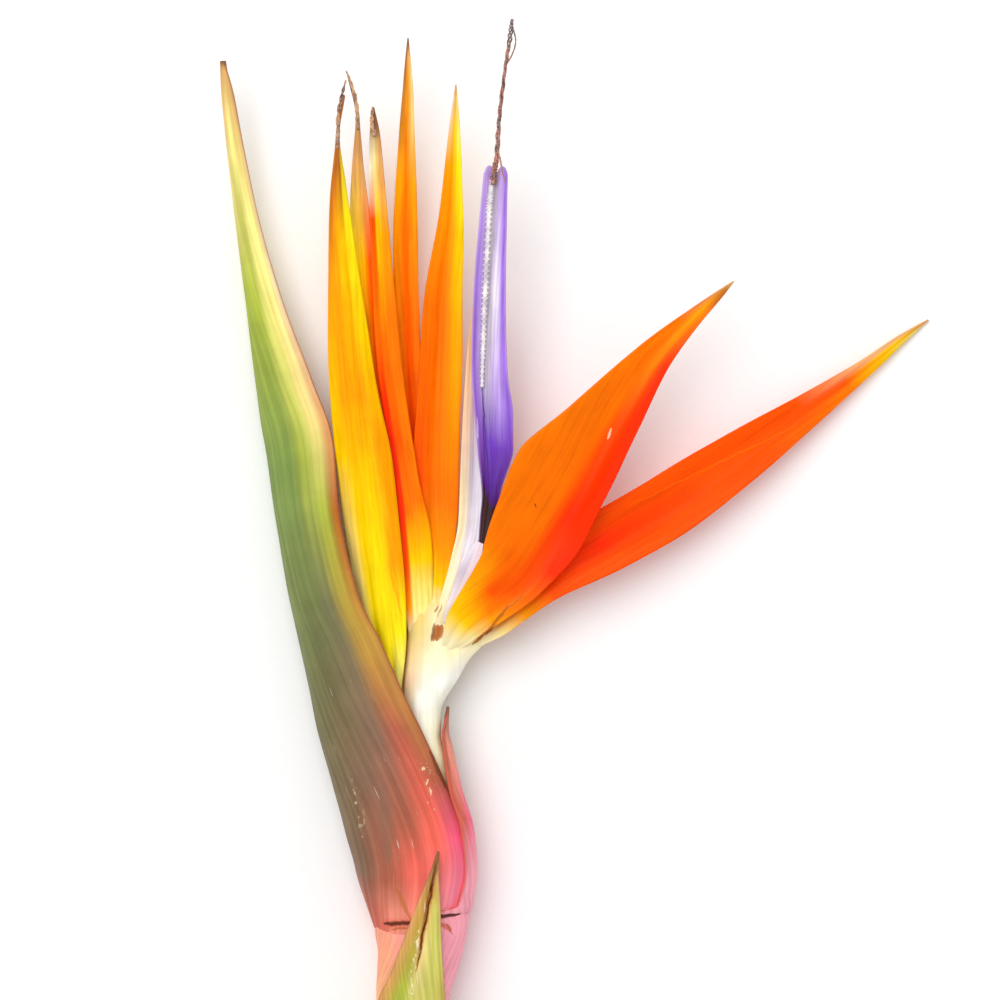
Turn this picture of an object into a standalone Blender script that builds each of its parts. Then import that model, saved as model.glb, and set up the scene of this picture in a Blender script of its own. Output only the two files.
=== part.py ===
"""Bird of paradise flower head, picked and lying on its side. Lengths in metres, +Z up.

The flat of the flower lies in the XY plane: the stem's cut end is at -Y, the petal tips at +Y and
the beak of the spathe at -X. Sizes below are in millimetres and are scaled once, by MM.
"""
import math

import bmesh
import bpy
import numpy as np
from mathutils import Vector

MM = 0.001

# Wall thicknesses
SEPAL_THICK = 0.9
PETAL_THICK = 0.8
SPATHE_WALL = 1.2
BRACT_WALL = 0.9

# Softness of the fold along a blade's midrib, as a share of the half width
FOLD_SOFTNESS = 0.25

# Mesh steps along and across each kind of piece
SEPAL_STEPS = (24, 6)
SMALL_PETAL_STEPS = (16, 6)
SPATHE_STEPS = (38, 16)
BRACT_STEPS = (30, 18)
TUBE_STEPS = (18, 20)
ROUND_STEPS = 4

# Stem: x, y, axis height, radius
STEM_AXIS = (
    (-32.5, -150.0, 4.8, 4.8),
    (-34.2, -112.0, 6.4, 4.7),
    (-33.6, -72.0, 8.0, 4.6),
    (-32.8, -46.0, 8.9, 4.4),
    (-32.2, -36.0, 9.2, 4.1),
    (-32.6, -25.0, 9.3, 3.9),
)

# Spathe: y, keel x, near margin x, half depth, centre height, near and far margin angles (degrees)
SPATHE_ROWS = (
    (-38.0, -38.2, -26.2, 6.2, 9.2, 16.0, 16.0),
    (-34.0, -38.5, -25.5, 6.9, 9.2, 18.0, 18.0),
    (-30.6, -38.8, -25.0, 7.1, 9.2, 20.0, 22.0),
    (-28.2, -40.8, -24.8, 8.0, 9.1, 24.0, 28.0),
    (-26.0, -42.1, -24.6, 8.5, 9.0, 26.0, 34.0),
    (-20.0, -44.1, -24.0, 8.9, 9.0, 29.0, 40.0),
    (-12.0, -46.3, -23.8, 9.0, 9.0, 33.0, 50.0),
    (-3.0, -48.7, -25.9, 9.0, 9.0, 43.0, 58.0),
    (7.0, -51.5, -30.3, 8.9, 8.9, 52.0, 62.0),
    (16.0, -53.3, -34.7, 8.8, 8.8, 58.0, 68.0),
    (26.0, -55.5, -39.1, 8.5, 8.5, 60.0, 70.0),
    (34.0, -57.3, -43.1, 8.2, 8.2, 60.0, 70.0),
    (50.0, -60.1, -47.1, 7.4, 7.4, 60.0, 70.0),
    (66.0, -62.5, -48.7, 6.4, 6.6, 55.0, 66.0),
    (78.0, -64.3, -52.9, 5.3, 6.2, 50.0, 62.0),
    (94.0, -66.3, -58.9, 3.8, 6.0, 44.0, 54.0),
    (110.0, -68.3, -63.5, 2.6, 6.6, 38.0, 46.0),
    (126.0, -70.1, -66.9, 1.8, 7.8, 34.0, 40.0),
    (136.0, -71.0, -68.8, 1.3, 8.9, 30.0, 34.0),
    (142.0, -71.2, -69.8, 1.1, 9.6, 26.0, 30.0),
)

# Rear bract (the pink sheath): y, centre x, half width, half depth, centre height, margin angles
REAR_BRACT_ROWS = (
    (-88.0, -33.9, 6.1, 6.1, 7.4, -95.0, 252.0),
    (-72.0, -33.6, 6.2, 6.2, 8.0, -95.0, 252.0),
    (-58.0, -33.2, 6.6, 6.6, 8.5, -95.0, 252.0),
    (-46.0, -32.8, 7.3, 7.3, 8.9, -95.0, 252.0),
    (-40.0, -31.8, 8.1, 7.9, 9.1, -95.0, 252.0),
    (-36.0, -31.2, 8.6, 8.5, 9.2, -95.0, 252.0),
    (-32.4, -31.1, 9.3, 9.0, 9.3, -94.0, 250.0),
    (-31.2, -31.1, 9.5, 9.1, 9.3, -92.0, 215.0),
    (-30.4, -31.1, 9.6, 9.2, 9.3, -90.0, 140.0),
    (-29.4, -31.0, 9.7, 9.3, 9.3, -82.0, 62.0),
    (-26.0, -30.7, 10.2, 9.5, 9.3, -70.0, 43.0),
    (-20.0, -30.4, 10.6, 9.8, 9.3, -58.0, 43.0),
    (-12.0, -30.9, 10.4, 10.0, 9.8, -48.0, 43.0),
    (-3.0, -32.4, 9.3, 9.6, 10.3, -36.0, 41.0),
    (6.0, -32.8, 7.6, 6.6, 9.8, -30.0, 36.0),
    (12.6, -29.6, 4.1, 3.0, 9.6, -9.0, 9.0),
)

# Front bract (the green one): y, centre x, half width, half depth, centre height, margin angles
FRONT_BRACT_ROWS = (
    (-112.0, -34.2, 6.0, 6.0, 6.4, -82.0, 265.0),
    (-98.0, -34.0, 7.0, 7.0, 7.2, -82.0, 265.0),
    (-84.0, -33.9, 7.8, 7.8, 7.8, -82.0, 265.0),
    (-68.0, -33.4, 7.8, 7.8, 8.1, -80.0, 262.0),
    (-58.0, -33.2, 8.0, 8.0, 8.5, -40.0, 220.0),
    (-52.0, -33.0, 8.4, 8.3, 8.9, 4.0, 176.0),
    (-46.0, -32.8, 8.0, 7.9, 10.2, 33.0, 147.0),
    (-41.0, -31.9, 6.3, 5.6, 13.6, 30.0, 150.0),
    (-33.0, -30.6, 4.2, 3.4, 17.4, 28.0, 152.0),
    (-26.0, -29.4, 2.6, 2.3, 18.6, 26.0, 154.0),
    (-20.0, -28.3, 1.2, 1.2, 19.4, 26.0, 154.0),
    (-16.6, -27.9, 0.8, 0.8, 19.8, 35.0, 145.0),
)

# Flower tubes: y, left x, right x, centre height, half depth
FRESH_TUBE_ROWS = (
    (-24.4, -32.6, -28.6, 9.2, 2.2),
    (-14.0, -32.4, -25.6, 9.2, 3.0),
    (-6.0, -33.0, -24.3, 9.3, 3.4),
    (2.0, -33.8, -26.3, 9.4, 3.4),
    (7.0, -34.3, -27.4, 9.5, 3.3),
    (12.0, -34.7, -27.1, 9.5, 3.2),
    (18.0, -34.6, -23.9, 9.5, 3.1),
    (22.0, -34.2, -21.6, 9.5, 3.0),
    (26.0, -33.8, -18.6, 9.5, 2.8),
    (29.5, -33.4, -20.0, 9.5, 2.3),
)
OLDER_TUBE_ROWS = (
    (-24.4, -36.9, -33.2, 9.2, 1.8),
    (-10.0, -38.6, -33.7, 9.2, 2.2),
    (0.0, -39.6, -34.4, 9.2, 2.4),
    (8.0, -40.0, -35.1, 9.2, 2.4),
    (14.0, -39.2, -35.4, 9.2, 2.2),
)

# Blades, base to tip: x, y, height, left half width, right half width, rise of the margins
SEPAL_OUTER = (
    (-37.2, 15.2, 11.0, 2.0, 2.2, 0.2),
    (-38.5, 26.0, 11.8, 3.6, 4.2, -0.5),
    (-40.6, 42.0, 12.5, 5.2, 5.6, -0.9),
    (-42.8, 60.0, 13.6, 5.3, 6.0, -1.2),
    (-45.1, 80.0, 15.2, 4.6, 4.5, -1.3),
    (-46.6, 100.0, 16.2, 3.0, 3.0, -1.2),
    (-47.5, 116.0, 16.4, 1.5, 1.6, -0.6),
    (-47.6, 126.0, 16.0, 0.6, 0.6, 0.0),
    (-46.3, 134.6, 15.4, 0.4, 0.4, 0.0),
)
SEPAL_SECOND = (
    (-36.8, 15.2, 7.8, 1.6, 1.6, 0.2),
    (-36.0, 38.0, 8.0, 1.8, 1.8, 0.3),
    (-37.6, 60.0, 9.0, 1.9, 1.9, 0.8),
    (-41.0, 84.0, 10.4, 2.1, 2.1, 0.9),
    (-43.0, 106.0, 12.2, 2.1, 2.1, 0.8),
    (-43.7, 122.0, 13.0, 1.0, 1.0, 0.4),
    (-43.7, 130.0, 13.2, 0.5, 0.5, 0.0),
    (-45.6, 138.6, 13.6, 0.4, 0.4, 0.0),
)
SEPAL_THIRD = (
    (-31.6, 30.6, 10.6, 1.6, 1.5, 0.4),
    (-32.5, 46.0, 11.4, 2.2, 2.4, 0.2),
    (-34.4, 60.0, 11.3, 2.3, 2.5, 0.3),
    (-37.4, 80.0, 12.3, 2.4, 2.6, 0.6),
    (-39.0, 102.0, 13.4, 2.0, 2.0, 0.9),
    (-40.0, 120.0, 13.6, 1.4, 1.4, 0.6),
    (-40.3, 127.0, 13.4, 1.0, 1.0, 0.3),
    (-40.6, 132.4, 13.2, 0.4, 0.4, 0.0),
)
SEPAL_TALL = (
    (-35.2, 2.0, 3.8, 1.4, 1.4, 0.3),
    (-33.0, 26.0, 4.4, 1.8, 1.8, 0.4),
    (-31.8, 50.0, 6.4, 2.2, 2.2, 0.7),
    (-33.2, 74.0, 7.6, 2.4, 2.4, 0.9),
    (-34.2, 104.0, 9.4, 2.5, 2.4, 0.9),
    (-34.0, 126.0, 10.6, 1.6, 1.6, 0.6),
    (-33.7, 138.0, 11.2, 0.9, 0.9, 0.2),
    (-33.7, 146.2, 11.6, 0.4, 0.4, 0.0),
)
SEPAL_LEFT = (
    (-27.6, 30.8, 11.0, 1.4, 1.4, 0.2),
    (-27.3, 42.0, 10.4, 2.0, 2.3, 0.2),
    (-28.0, 56.0, 9.2, 3.9, 4.0, 0.8),
    (-27.4, 78.0, 9.8, 4.2, 4.4, 1.5),
    (-26.6, 94.0, 10.0, 3.9, 3.8, 1.4),
    (-25.0, 112.0, 10.8, 2.3, 2.3, 0.9),
    (-24.4, 128.0, 11.8, 1.1, 1.1, 0.3),
    (-24.1, 136.8, 12.4, 0.4, 0.4, 0.0),
)
SEPAL_UPPER = (
    (-22.6, 28.6, 15.2, 4.4, 2.9, 0.6),
    (-11.0, 38.0, 15.0, 9.8, 3.9, 2.6),
    (-5.0, 47.0, 14.8, 12.2, 5.8, 3.6),
    (1.5, 57.5, 15.4, 14.3, 4.5, 4.2),
    (7.6, 69.5, 16.6, 9.6, 4.2, 3.0),
    (16.0, 82.5, 18.6, 4.2, 2.8, 1.3),
    (23.0, 90.0, 20.2, 1.9, 1.6, 0.5),
    (28.0, 94.6, 21.2, 0.8, 0.8, 0.1),
    (30.7, 97.0, 21.8, 0.4, 0.4, 0.0),
)
SEPAL_LOWER = (
    (-16.6, 29.4, 9.3, 3.2, 3.2, 0.2),
    (-6.3, 38.4, 9.3, 4.8, 4.8, 0.9),
    (6.9, 46.2, 8.9, 6.2, 6.3, 1.7),
    (18.6, 53.0, 8.0, 6.3, 6.5, 2.0),
    (32.6, 62.4, 6.3, 5.3, 5.3, 1.7),
    (45.8, 71.6, 4.3, 3.4, 3.6, 1.0),
    (57.6, 80.0, 2.4, 1.9, 1.9, 0.4),
    (66.3, 86.8, 1.2, 0.9, 0.9, 0.1),
    (71.5, 90.5, 0.5, 0.4, 0.4, 0.0),
)
ARROW_PETAL = (
    (-18.6, 41.6, 15.7, 0.4, 0.4, 0.0),
    (-17.9, 51.0, 15.6, 0.5, 0.6, 0.1),
    (-17.8, 57.0, 15.5, 1.1, 3.0, 0.7),
    (-18.4, 64.0, 15.6, 1.3, 5.4, 1.7),
    (-18.6, 71.0, 15.7, 1.7, 5.9, 2.2),
    (-18.7, 78.0, 15.8, 2.1, 5.0, 2.3),
    (-18.4, 87.0, 15.9, 2.4, 4.3, 2.4),
    (-17.8, 98.0, 16.1, 2.5, 3.6, 2.4),
    (-17.0, 110.0, 16.4, 2.4, 3.0, 2.2),
    (-16.4, 119.4, 16.6, 1.9, 2.0, 1.6),
)
PETAL_CLAW = (
    (-26.0, 32.6, 12.6, 1.4, 1.4, 0.4),
    (-22.9, 42.0, 12.7, 1.9, 1.9, 0.4),
    (-21.0, 50.0, 12.8, 2.2, 2.2, 0.8),
    (-20.6, 62.0, 13.2, 2.0, 1.9, 1.0),
    (-20.4, 74.0, 13.5, 1.7, 1.6, 0.8),
    (-20.1, 86.0, 13.8, 1.2, 1.2, 0.4),
    (-19.8, 95.0, 14.0, 0.6, 0.6, 0.1),
)
NECTARY_PETAL = (
    (-25.0, 33.0, 14.0, 0.8, 0.8, 0.1),
    (-22.9, 37.4, 14.1, 1.3, 1.3, 0.1),
    (-21.3, 41.2, 14.3, 1.5, 1.5, 0.0),
    (-20.4, 44.4, 14.5, 0.8, 0.8, 0.0),
)

# Style and stamens: x, y, height, radius
STYLE_AXIS = (
    (-17.0, 112.6, 18.2, 0.5),
    (-16.3, 119.5, 18.4, 0.5),
    (-15.4, 130.0, 18.8, 0.5),
    (-13.7, 140.0, 19.6, 0.4),
    (-13.1, 149.5, 20.4, 0.5),
)
STAMEN_AXIS = (
    (-18.7, 76.0, 17.4, 0.5),
    (-18.4, 87.0, 17.5, 0.6),
    (-17.8, 98.0, 17.8, 0.6),
    (-17.1, 111.6, 18.1, 0.5),
)


def start_clean():
    """Removes whatever the scene holds, and makes the collection and the empty that carries the flower."""
    for old in list(bpy.data.objects):
        bpy.data.objects.remove(old, do_unlink=True)
    home = bpy.data.collections.new("bird_of_paradise_flower")
    bpy.context.scene.collection.children.link(home)
    carrier = bpy.data.objects.new("flower_base", None)
    carrier.empty_display_size = 10.0 * MM
    home.objects.link(carrier)
    return home, carrier


def linear(channel):
    """One display colour channel (0 to 255) as linear light."""
    value = channel / 255.0
    return value / 12.92 if value <= 0.04045 else ((value + 0.055) / 1.055) ** 2.4


def finish(name, red, green, blue, roughness):
    """A plain coloured surface."""
    made = bpy.data.materials.new(name)
    made.use_nodes = True
    shader = made.node_tree.nodes["Principled BSDF"]
    shader.inputs["Base Color"].default_value = (linear(red), linear(green), linear(blue), 1.0)
    shader.inputs["Roughness"].default_value = roughness
    shader.inputs["Metallic"].default_value = 0.0
    return made


def glide(rows, share):
    """Value of a knot table at a share 0 to 1 of its length, smooth and without overshoot."""
    table = np.asarray(rows, dtype=float)
    place = min(max(share, 0.0), 1.0) * (len(table) - 1)
    low = min(int(place), len(table) - 2)
    step = np.diff(table, axis=0)
    slopes = []
    for at in (low, low + 1):
        before = step[max(at - 1, 0)]
        after = step[min(at, len(step) - 1)]
        product = before * after
        total = np.where(product > 0.0, before + after, 1.0)
        slopes.append(np.where(product > 0.0, 2.0 * product / total, 0.0))
    f = place - low
    return (
        (1.0 + 2.0 * f) * (1.0 - f) ** 2 * table[low]
        + f * (1.0 - f) ** 2 * slopes[0]
        + f * f * (3.0 - 2.0 * f) * table[low + 1]
        + f * f * (f - 1.0) * slopes[1]
    )


def place(made, root, home):
    """Puts a piece in the flower with its origin at its own foot."""
    collection, carrier = home
    collection.objects.link(made)
    made.parent = carrier
    made.location = root


def add_mesh(bm, name, root, made_of, home):
    """Turns a bmesh into a shaded object with its own material; root is where the piece grows from."""
    bmesh.ops.translate(bm, verts=bm.verts, vec=-root)
    mesh = bpy.data.meshes.new(name)
    bm.to_mesh(mesh)
    bm.free()
    mesh.shade_smooth()
    mesh.materials.append(made_of)
    made = bpy.data.objects.new(name, mesh)
    place(made, root, home)
    return made


def thicken(made, wall, offset):
    """Gives an open surface its wall."""
    solid = made.modifiers.new("wall", "SOLIDIFY")
    solid.thickness = wall * MM
    solid.offset = offset
    solid.use_even_offset = False


def blade(name, rows, steps, wall, roll, made_of, home):
    """A petal or sepal: a sheet along a midrib, folded softly at the midrib.

    The roll (degrees, base and tip) turns the sheet about its midrib.
    """
    bm = bmesh.new()
    bmesh.ops.create_grid(bm, x_segments=steps[0], y_segments=steps[1], size=0.5)
    fold = math.hypot(1.0, FOLD_SOFTNESS) - FOLD_SOFTNESS
    for vert in bm.verts:
        along = vert.co.x + 0.5
        across = 2.0 * vert.co.y
        x, y, z, left, right, rise = glide(rows, along)
        ahead = Vector(glide(rows, along + 0.01)[:3]) - Vector(glide(rows, along - 0.01)[:3])
        ahead.normalize()
        side = ahead.cross(Vector((0.0, 0.0, 1.0))).normalized()
        up = side.cross(ahead)
        angle = math.radians(roll[0] + (roll[1] - roll[0]) * along)
        turned_side = side * math.cos(angle) - up * math.sin(angle)
        turned_up = up * math.cos(angle) + side * math.sin(angle)
        half = left if across < 0.0 else right
        lift = rise * (math.hypot(across, FOLD_SOFTNESS) - FOLD_SOFTNESS) / fold
        vert.co = (Vector((x, y, z)) + turned_side * (across * half) + turned_up * lift) * MM
    made = add_mesh(bm, name, Vector(rows[0][:3]) * MM, made_of, home)
    thicken(made, wall, 0.0)
    return made


def sheath(name, rows, steps, wall, made_of, home):
    """A rolled leaf: elliptical arcs stacked along Y; the wall grows inward."""
    bm = bmesh.new()
    bmesh.ops.create_grid(bm, x_segments=steps[0], y_segments=steps[1], size=0.5)
    for vert in bm.verts:
        y, middle, wide, deep, height, first, last = glide(rows, vert.co.x + 0.5)
        angle = math.radians(first + (last - first) * (vert.co.y + 0.5))
        x = middle + wide * math.cos(angle)
        vert.co = Vector((x, y, height + deep * math.sin(angle))) * MM
    y, middle, _, _, height = rows[0][:5]
    made = add_mesh(bm, name, Vector((middle, y, height)) * MM, made_of, home)
    thicken(made, wall, -1.0)
    return made


def boat_rows(rows):
    """Spathe rows given by keel and near margin, as ellipse rows for a sheath."""
    turned = []
    for y, keel, margin, deep, height, near, far in rows:
        wide = (margin - keel) / (1.0 + math.cos(math.radians(near)))
        turned.append((y, keel + wide, wide, deep, height, near, 360.0 - far))
    return turned


def tube(name, rows, steps, made_of, home):
    """A solid tube with elliptical sections stacked along Y."""
    bm = bmesh.new()
    bmesh.ops.create_cone(bm, cap_ends=True, segments=steps[1], radius1=1.0, radius2=1.0, depth=1.0)
    upright = [e for e in bm.edges if abs(e.verts[0].co.z - e.verts[1].co.z) > 0.5]
    bmesh.ops.subdivide_edges(bm, edges=upright, cuts=steps[0] - 1, use_grid_fill=True)
    for vert in bm.verts:
        y, left, right, height, deep = glide(rows, vert.co.z + 0.5)
        x = 0.5 * (left + right) - 0.5 * (right - left) * vert.co.x
        vert.co = Vector((x, y, height + deep * vert.co.y)) * MM
    y, left, right, height = rows[0][:4]
    return add_mesh(bm, name, Vector((0.5 * (left + right), y, height)) * MM, made_of, home)


def rod(name, axis, made_of, home):
    """A round stalk along a smooth path, closed at both ends."""
    curve = bpy.data.curves.new(name, "CURVE")
    curve.dimensions = "3D"
    curve.bevel_depth = MM
    curve.bevel_resolution = ROUND_STEPS
    curve.use_fill_caps = True
    curve.resolution_u = 5
    curve.render_resolution_u = 0
    spline = curve.splines.new("BEZIER")
    spline.bezier_points.add(len(axis) - 1)
    root = Vector(axis[0][:3]) * MM
    for point, (x, y, z, radius) in zip(spline.bezier_points, axis):
        point.co = Vector((x, y, z)) * MM - root
        point.radius = radius
        point.handle_left_type = "AUTO"
        point.handle_right_type = "AUTO"
    made = bpy.data.objects.new(name, curve)
    curve.materials.append(made_of)
    place(made, root, home)
    return made


def build():
    """Makes every piece of the flower."""
    home = start_clean()
    rod("stem", STEM_AXIS, finish("stem_green", 128, 146, 62, 0.5), home)
    sheath("spathe", boat_rows(SPATHE_ROWS), SPATHE_STEPS, SPATHE_WALL,
           finish("spathe_green", 112, 128, 62, 0.45), home)
    sheath("rear_bract", REAR_BRACT_ROWS, BRACT_STEPS, BRACT_WALL,
           finish("rear_bract_pink", 250, 130, 140, 0.45), home)
    sheath("front_bract", FRONT_BRACT_ROWS, BRACT_STEPS, BRACT_WALL,
           finish("front_bract_green", 222, 204, 98, 0.45), home)
    tube("fresh_flower_tube", FRESH_TUBE_ROWS, TUBE_STEPS,
         finish("fresh_tube_cream", 255, 251, 200, 0.5), home)
    tube("older_flower_tube", OLDER_TUBE_ROWS, TUBE_STEPS,
         finish("older_tube_cream", 250, 232, 150, 0.5), home)
    sepals = (
        ("older_sepal_outer", SEPAL_OUTER, (-16.0, 0.0), (254, 190, 0)),
        ("older_sepal_second", SEPAL_SECOND, (0.0, 0.0), (252, 170, 4)),
        ("older_sepal_third", SEPAL_THIRD, (0.0, 6.0), (254, 150, 2)),
        ("middle_sepal_tall", SEPAL_TALL, (0.0, 4.0), (254, 125, 2)),
        ("fresh_sepal_left", SEPAL_LEFT, (0.0, 0.0), (254, 145, 6)),
        ("fresh_sepal_upper", SEPAL_UPPER, (0.0, 10.0), (254, 90, 0)),
        ("fresh_sepal_lower", SEPAL_LOWER, (0.0, 0.0), (253, 82, 2)),
    )
    for name, rows, roll, colour in sepals:
        blade(name, rows, SEPAL_STEPS, SEPAL_THICK, roll, finish(f"{name}_orange", *colour, 0.45), home)
    blade("arrow_petal", ARROW_PETAL, SEPAL_STEPS, PETAL_THICK, (0.0, 0.0),
          finish("arrow_purple", 142, 90, 205, 0.4), home)
    blade("petal_claw", PETAL_CLAW, SMALL_PETAL_STEPS, PETAL_THICK, (0.0, 0.0),
          finish("claw_white", 254, 240, 215, 0.45), home)
    blade("nectary_petal", NECTARY_PETAL, SMALL_PETAL_STEPS, PETAL_THICK, (0.0, 0.0),
          finish("nectary_lavender", 210, 197, 210, 0.45), home)
    rod("style", STYLE_AXIS, finish("style_dry", 165, 130, 122, 0.7), home)
    rod("stamens", STAMEN_AXIS, finish("stamens_pale", 225, 220, 222, 0.6), home)


build()
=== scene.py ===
"""Bird of paradise flower, picked and laid on its side: shapes, finishes, light and camera.

Tables of sizes are in millimetres in the row frame; meshes are made in metres.
"""
from __future__ import annotations

import logging
import math
from dataclasses import dataclass, field
from enum import Enum

import bmesh
import bpy
import numpy as np
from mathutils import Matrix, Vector, noise


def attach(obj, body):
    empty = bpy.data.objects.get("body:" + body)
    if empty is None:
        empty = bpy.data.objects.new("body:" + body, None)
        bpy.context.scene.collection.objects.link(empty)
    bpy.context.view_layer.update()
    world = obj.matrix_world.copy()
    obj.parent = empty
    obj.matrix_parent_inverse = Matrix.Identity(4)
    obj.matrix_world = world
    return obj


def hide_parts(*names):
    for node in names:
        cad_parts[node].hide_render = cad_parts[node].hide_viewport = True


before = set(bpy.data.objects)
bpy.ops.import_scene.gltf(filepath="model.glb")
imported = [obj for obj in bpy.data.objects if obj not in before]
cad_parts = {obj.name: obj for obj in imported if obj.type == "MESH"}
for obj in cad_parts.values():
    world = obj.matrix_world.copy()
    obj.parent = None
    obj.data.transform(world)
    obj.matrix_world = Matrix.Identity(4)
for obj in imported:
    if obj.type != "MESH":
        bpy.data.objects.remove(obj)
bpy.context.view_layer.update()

MM = 0.001
CM = 0.1  # centimetres in a millimetre, for the size and edge layers
LOG = logging.getLogger("strelitzia")

# Waves of a blade's flutes across its width, in radians per half width, and the share that its rim wavers by
FLUTE_RATE = 9.4
RIM_WOBBLE = 0.035
# How sharp the spathe's keel is, and how wide a closed slit is, in radians
KEEL_SHARPNESS = 24
SLIT_WIDTH = 0.11
# Distance over which a wall thins towards its margin, in centimetres
THIN_REACH = 0.14

Row = tuple[float, ...]
Rows = tuple[Row, ...]
Stops = tuple[tuple[float, str], ...]
Columns = tuple[tuple[float, Stops], ...]


class Tone(str, Enum):
    """Colours of the plant and of the surface under it, as display codes."""

    MILK = "#fffff4"
    IVORY = "#fffad0"
    CREAM = "#fff0c0"
    PEACH = "#ffdcb4"
    STRAW = "#f0d888"
    LEMON = "#ffee18"
    GOLD = "#ffcc00"
    AMBER = "#ffa000"
    ORANGE = "#ff7800"
    FLAME = "#ff5400"
    SCARLET = "#ff3000"
    TAN = "#d8a060"
    RUSSET = "#b46420"
    HUSK = "#8a5c3c"
    SEPIA = "#5a2810"
    PITH = "#e0dcb0"
    STALK = "#849a44"
    LEAF = "#80984c"
    LIME = "#a8b440"
    PALE_LIME = "#d8d468"
    CHIFFON = "#fff490"
    OLIVE = "#707048"
    BARK = "#846450"
    RUST = "#b46048"
    OCHRE = "#c49440"
    APRICOT = "#f0b478"
    CORAL = "#ff6c5c"
    ROSE = "#ff6488"
    SALMON = "#fa9a84"
    PINK = "#ffa4b4"
    BRICK = "#dc6450"
    # INK is the dark of the dried style, and painted shade on the arrow's dark foot
    INK = "#3a2626"
    PLUM = "#4c1880"
    VIOLET = "#7038bc"
    LILAC = "#a070dc"
    ORCHID = "#c8a8ec"
    MIST = "#c8bccc"
    PEARL = "#f0e8f2"
    WHITE = "#ffffff"
    # Near-white of the painted sheen flecks, which stand in for highlights
    SHEEN_WHITE = "#f6efe2"
    DUST = "#f1e4dc"
    PAPER = "#fbfbfb"
    PAPER_LIGHT = "#fefefe"


def glide(rows: Rows, share: float) -> np.ndarray:
    """Reads a knot table smoothly, without overshoot.

    Args:
        rows: the knots, one row each.
        share: place along the table, 0 to 1.

    Returns:
        The row's values at that place.
    """
    table = np.asarray(rows, dtype=float)
    place = min(max(share, 0.0), 1.0) * (len(table) - 1)
    low = min(int(place), len(table) - 2)
    step = np.diff(table, axis=0)
    slopes = []
    for at in (low, low + 1):
        before = step[max(at - 1, 0)]
        after = step[min(at, len(step) - 1)]
        product = before * after
        total = np.where(product > 0.0, before + after, 1.0)
        slopes.append(np.where(product > 0.0, 2.0 * product / total, 0.0))
    f = place - low
    return (
        (1.0 + 2.0 * f) * (1.0 - f) ** 2 * table[low]
        + f * (1.0 - f) ** 2 * slopes[0]
        + f * f * (3.0 - 2.0 * f) * table[low + 1]
        + f * f * (f - 1.0) * slopes[1]
    )


def ease(value: float, low: float, high: float) -> float:
    """A soft step from 0 at low to 1 at high."""
    f = min(max((value - low) / (high - low), 0.0), 1.0)
    return f * f * (3.0 - 2.0 * f)


def paint(code: str) -> tuple[float, float, float, float]:
    """Turns a display colour code into linear light.

    Args:
        code: red, green and blue as six hexadecimal digits after a hash sign.

    Returns:
        Linear red, green and blue, with alpha 1.
    """
    parts = []
    for at in (1, 3, 5):
        value = int(code[at:at + 2], 16) / 255.0
        parts.append(value / 12.92 if value <= 0.04045 else ((value + 0.055) / 1.055) ** 2.4)
    return parts[0], parts[1], parts[2], 1.0


def tube_blank(sides: int, rings: int) -> bmesh.types.BMesh:
    """Makes a tube of radius 1 and length 1 along Z, cut into rings.

    Args:
        sides: faces round the tube.
        rings: faces along it.

    Returns:
        The tube, centred on the origin and closed at both ends.
    """
    bm = bmesh.new()
    bmesh.ops.create_cone(bm, cap_ends=True, segments=sides, radius1=1.0, radius2=1.0, depth=1.0)
    upright = [e for e in bm.edges if abs(e.verts[0].co.z - e.verts[1].co.z) > 0.5]
    bmesh.ops.subdivide_edges(bm, edges=upright, cuts=rings - 1, use_grid_fill=True)
    return bm


def pour(part: bmesh.types.BMesh, whole: bmesh.types.BMesh) -> None:
    """Adds a shape to another one and frees it."""
    passed = bpy.data.meshes.new("passed")
    part.to_mesh(passed)
    part.free()
    whole.from_mesh(passed)
    bpy.data.meshes.remove(passed)


def directions(rows: Rows, share: float) -> tuple[Vector, Vector]:
    """The level and the upward direction square to a path.

    Args:
        rows: the path's knots, each starting with x, y and height.
        share: place along the path, 0 to 1.

    Returns:
        The sideways and the upward unit vector.
    """
    ahead = Vector(glide(rows, share + 0.01)[:3]) - Vector(glide(rows, share - 0.01)[:3])
    ahead.normalize()
    side = ahead.cross(Vector((0.0, 0.0, 1.0))).normalized()
    return side, side.cross(ahead)


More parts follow.
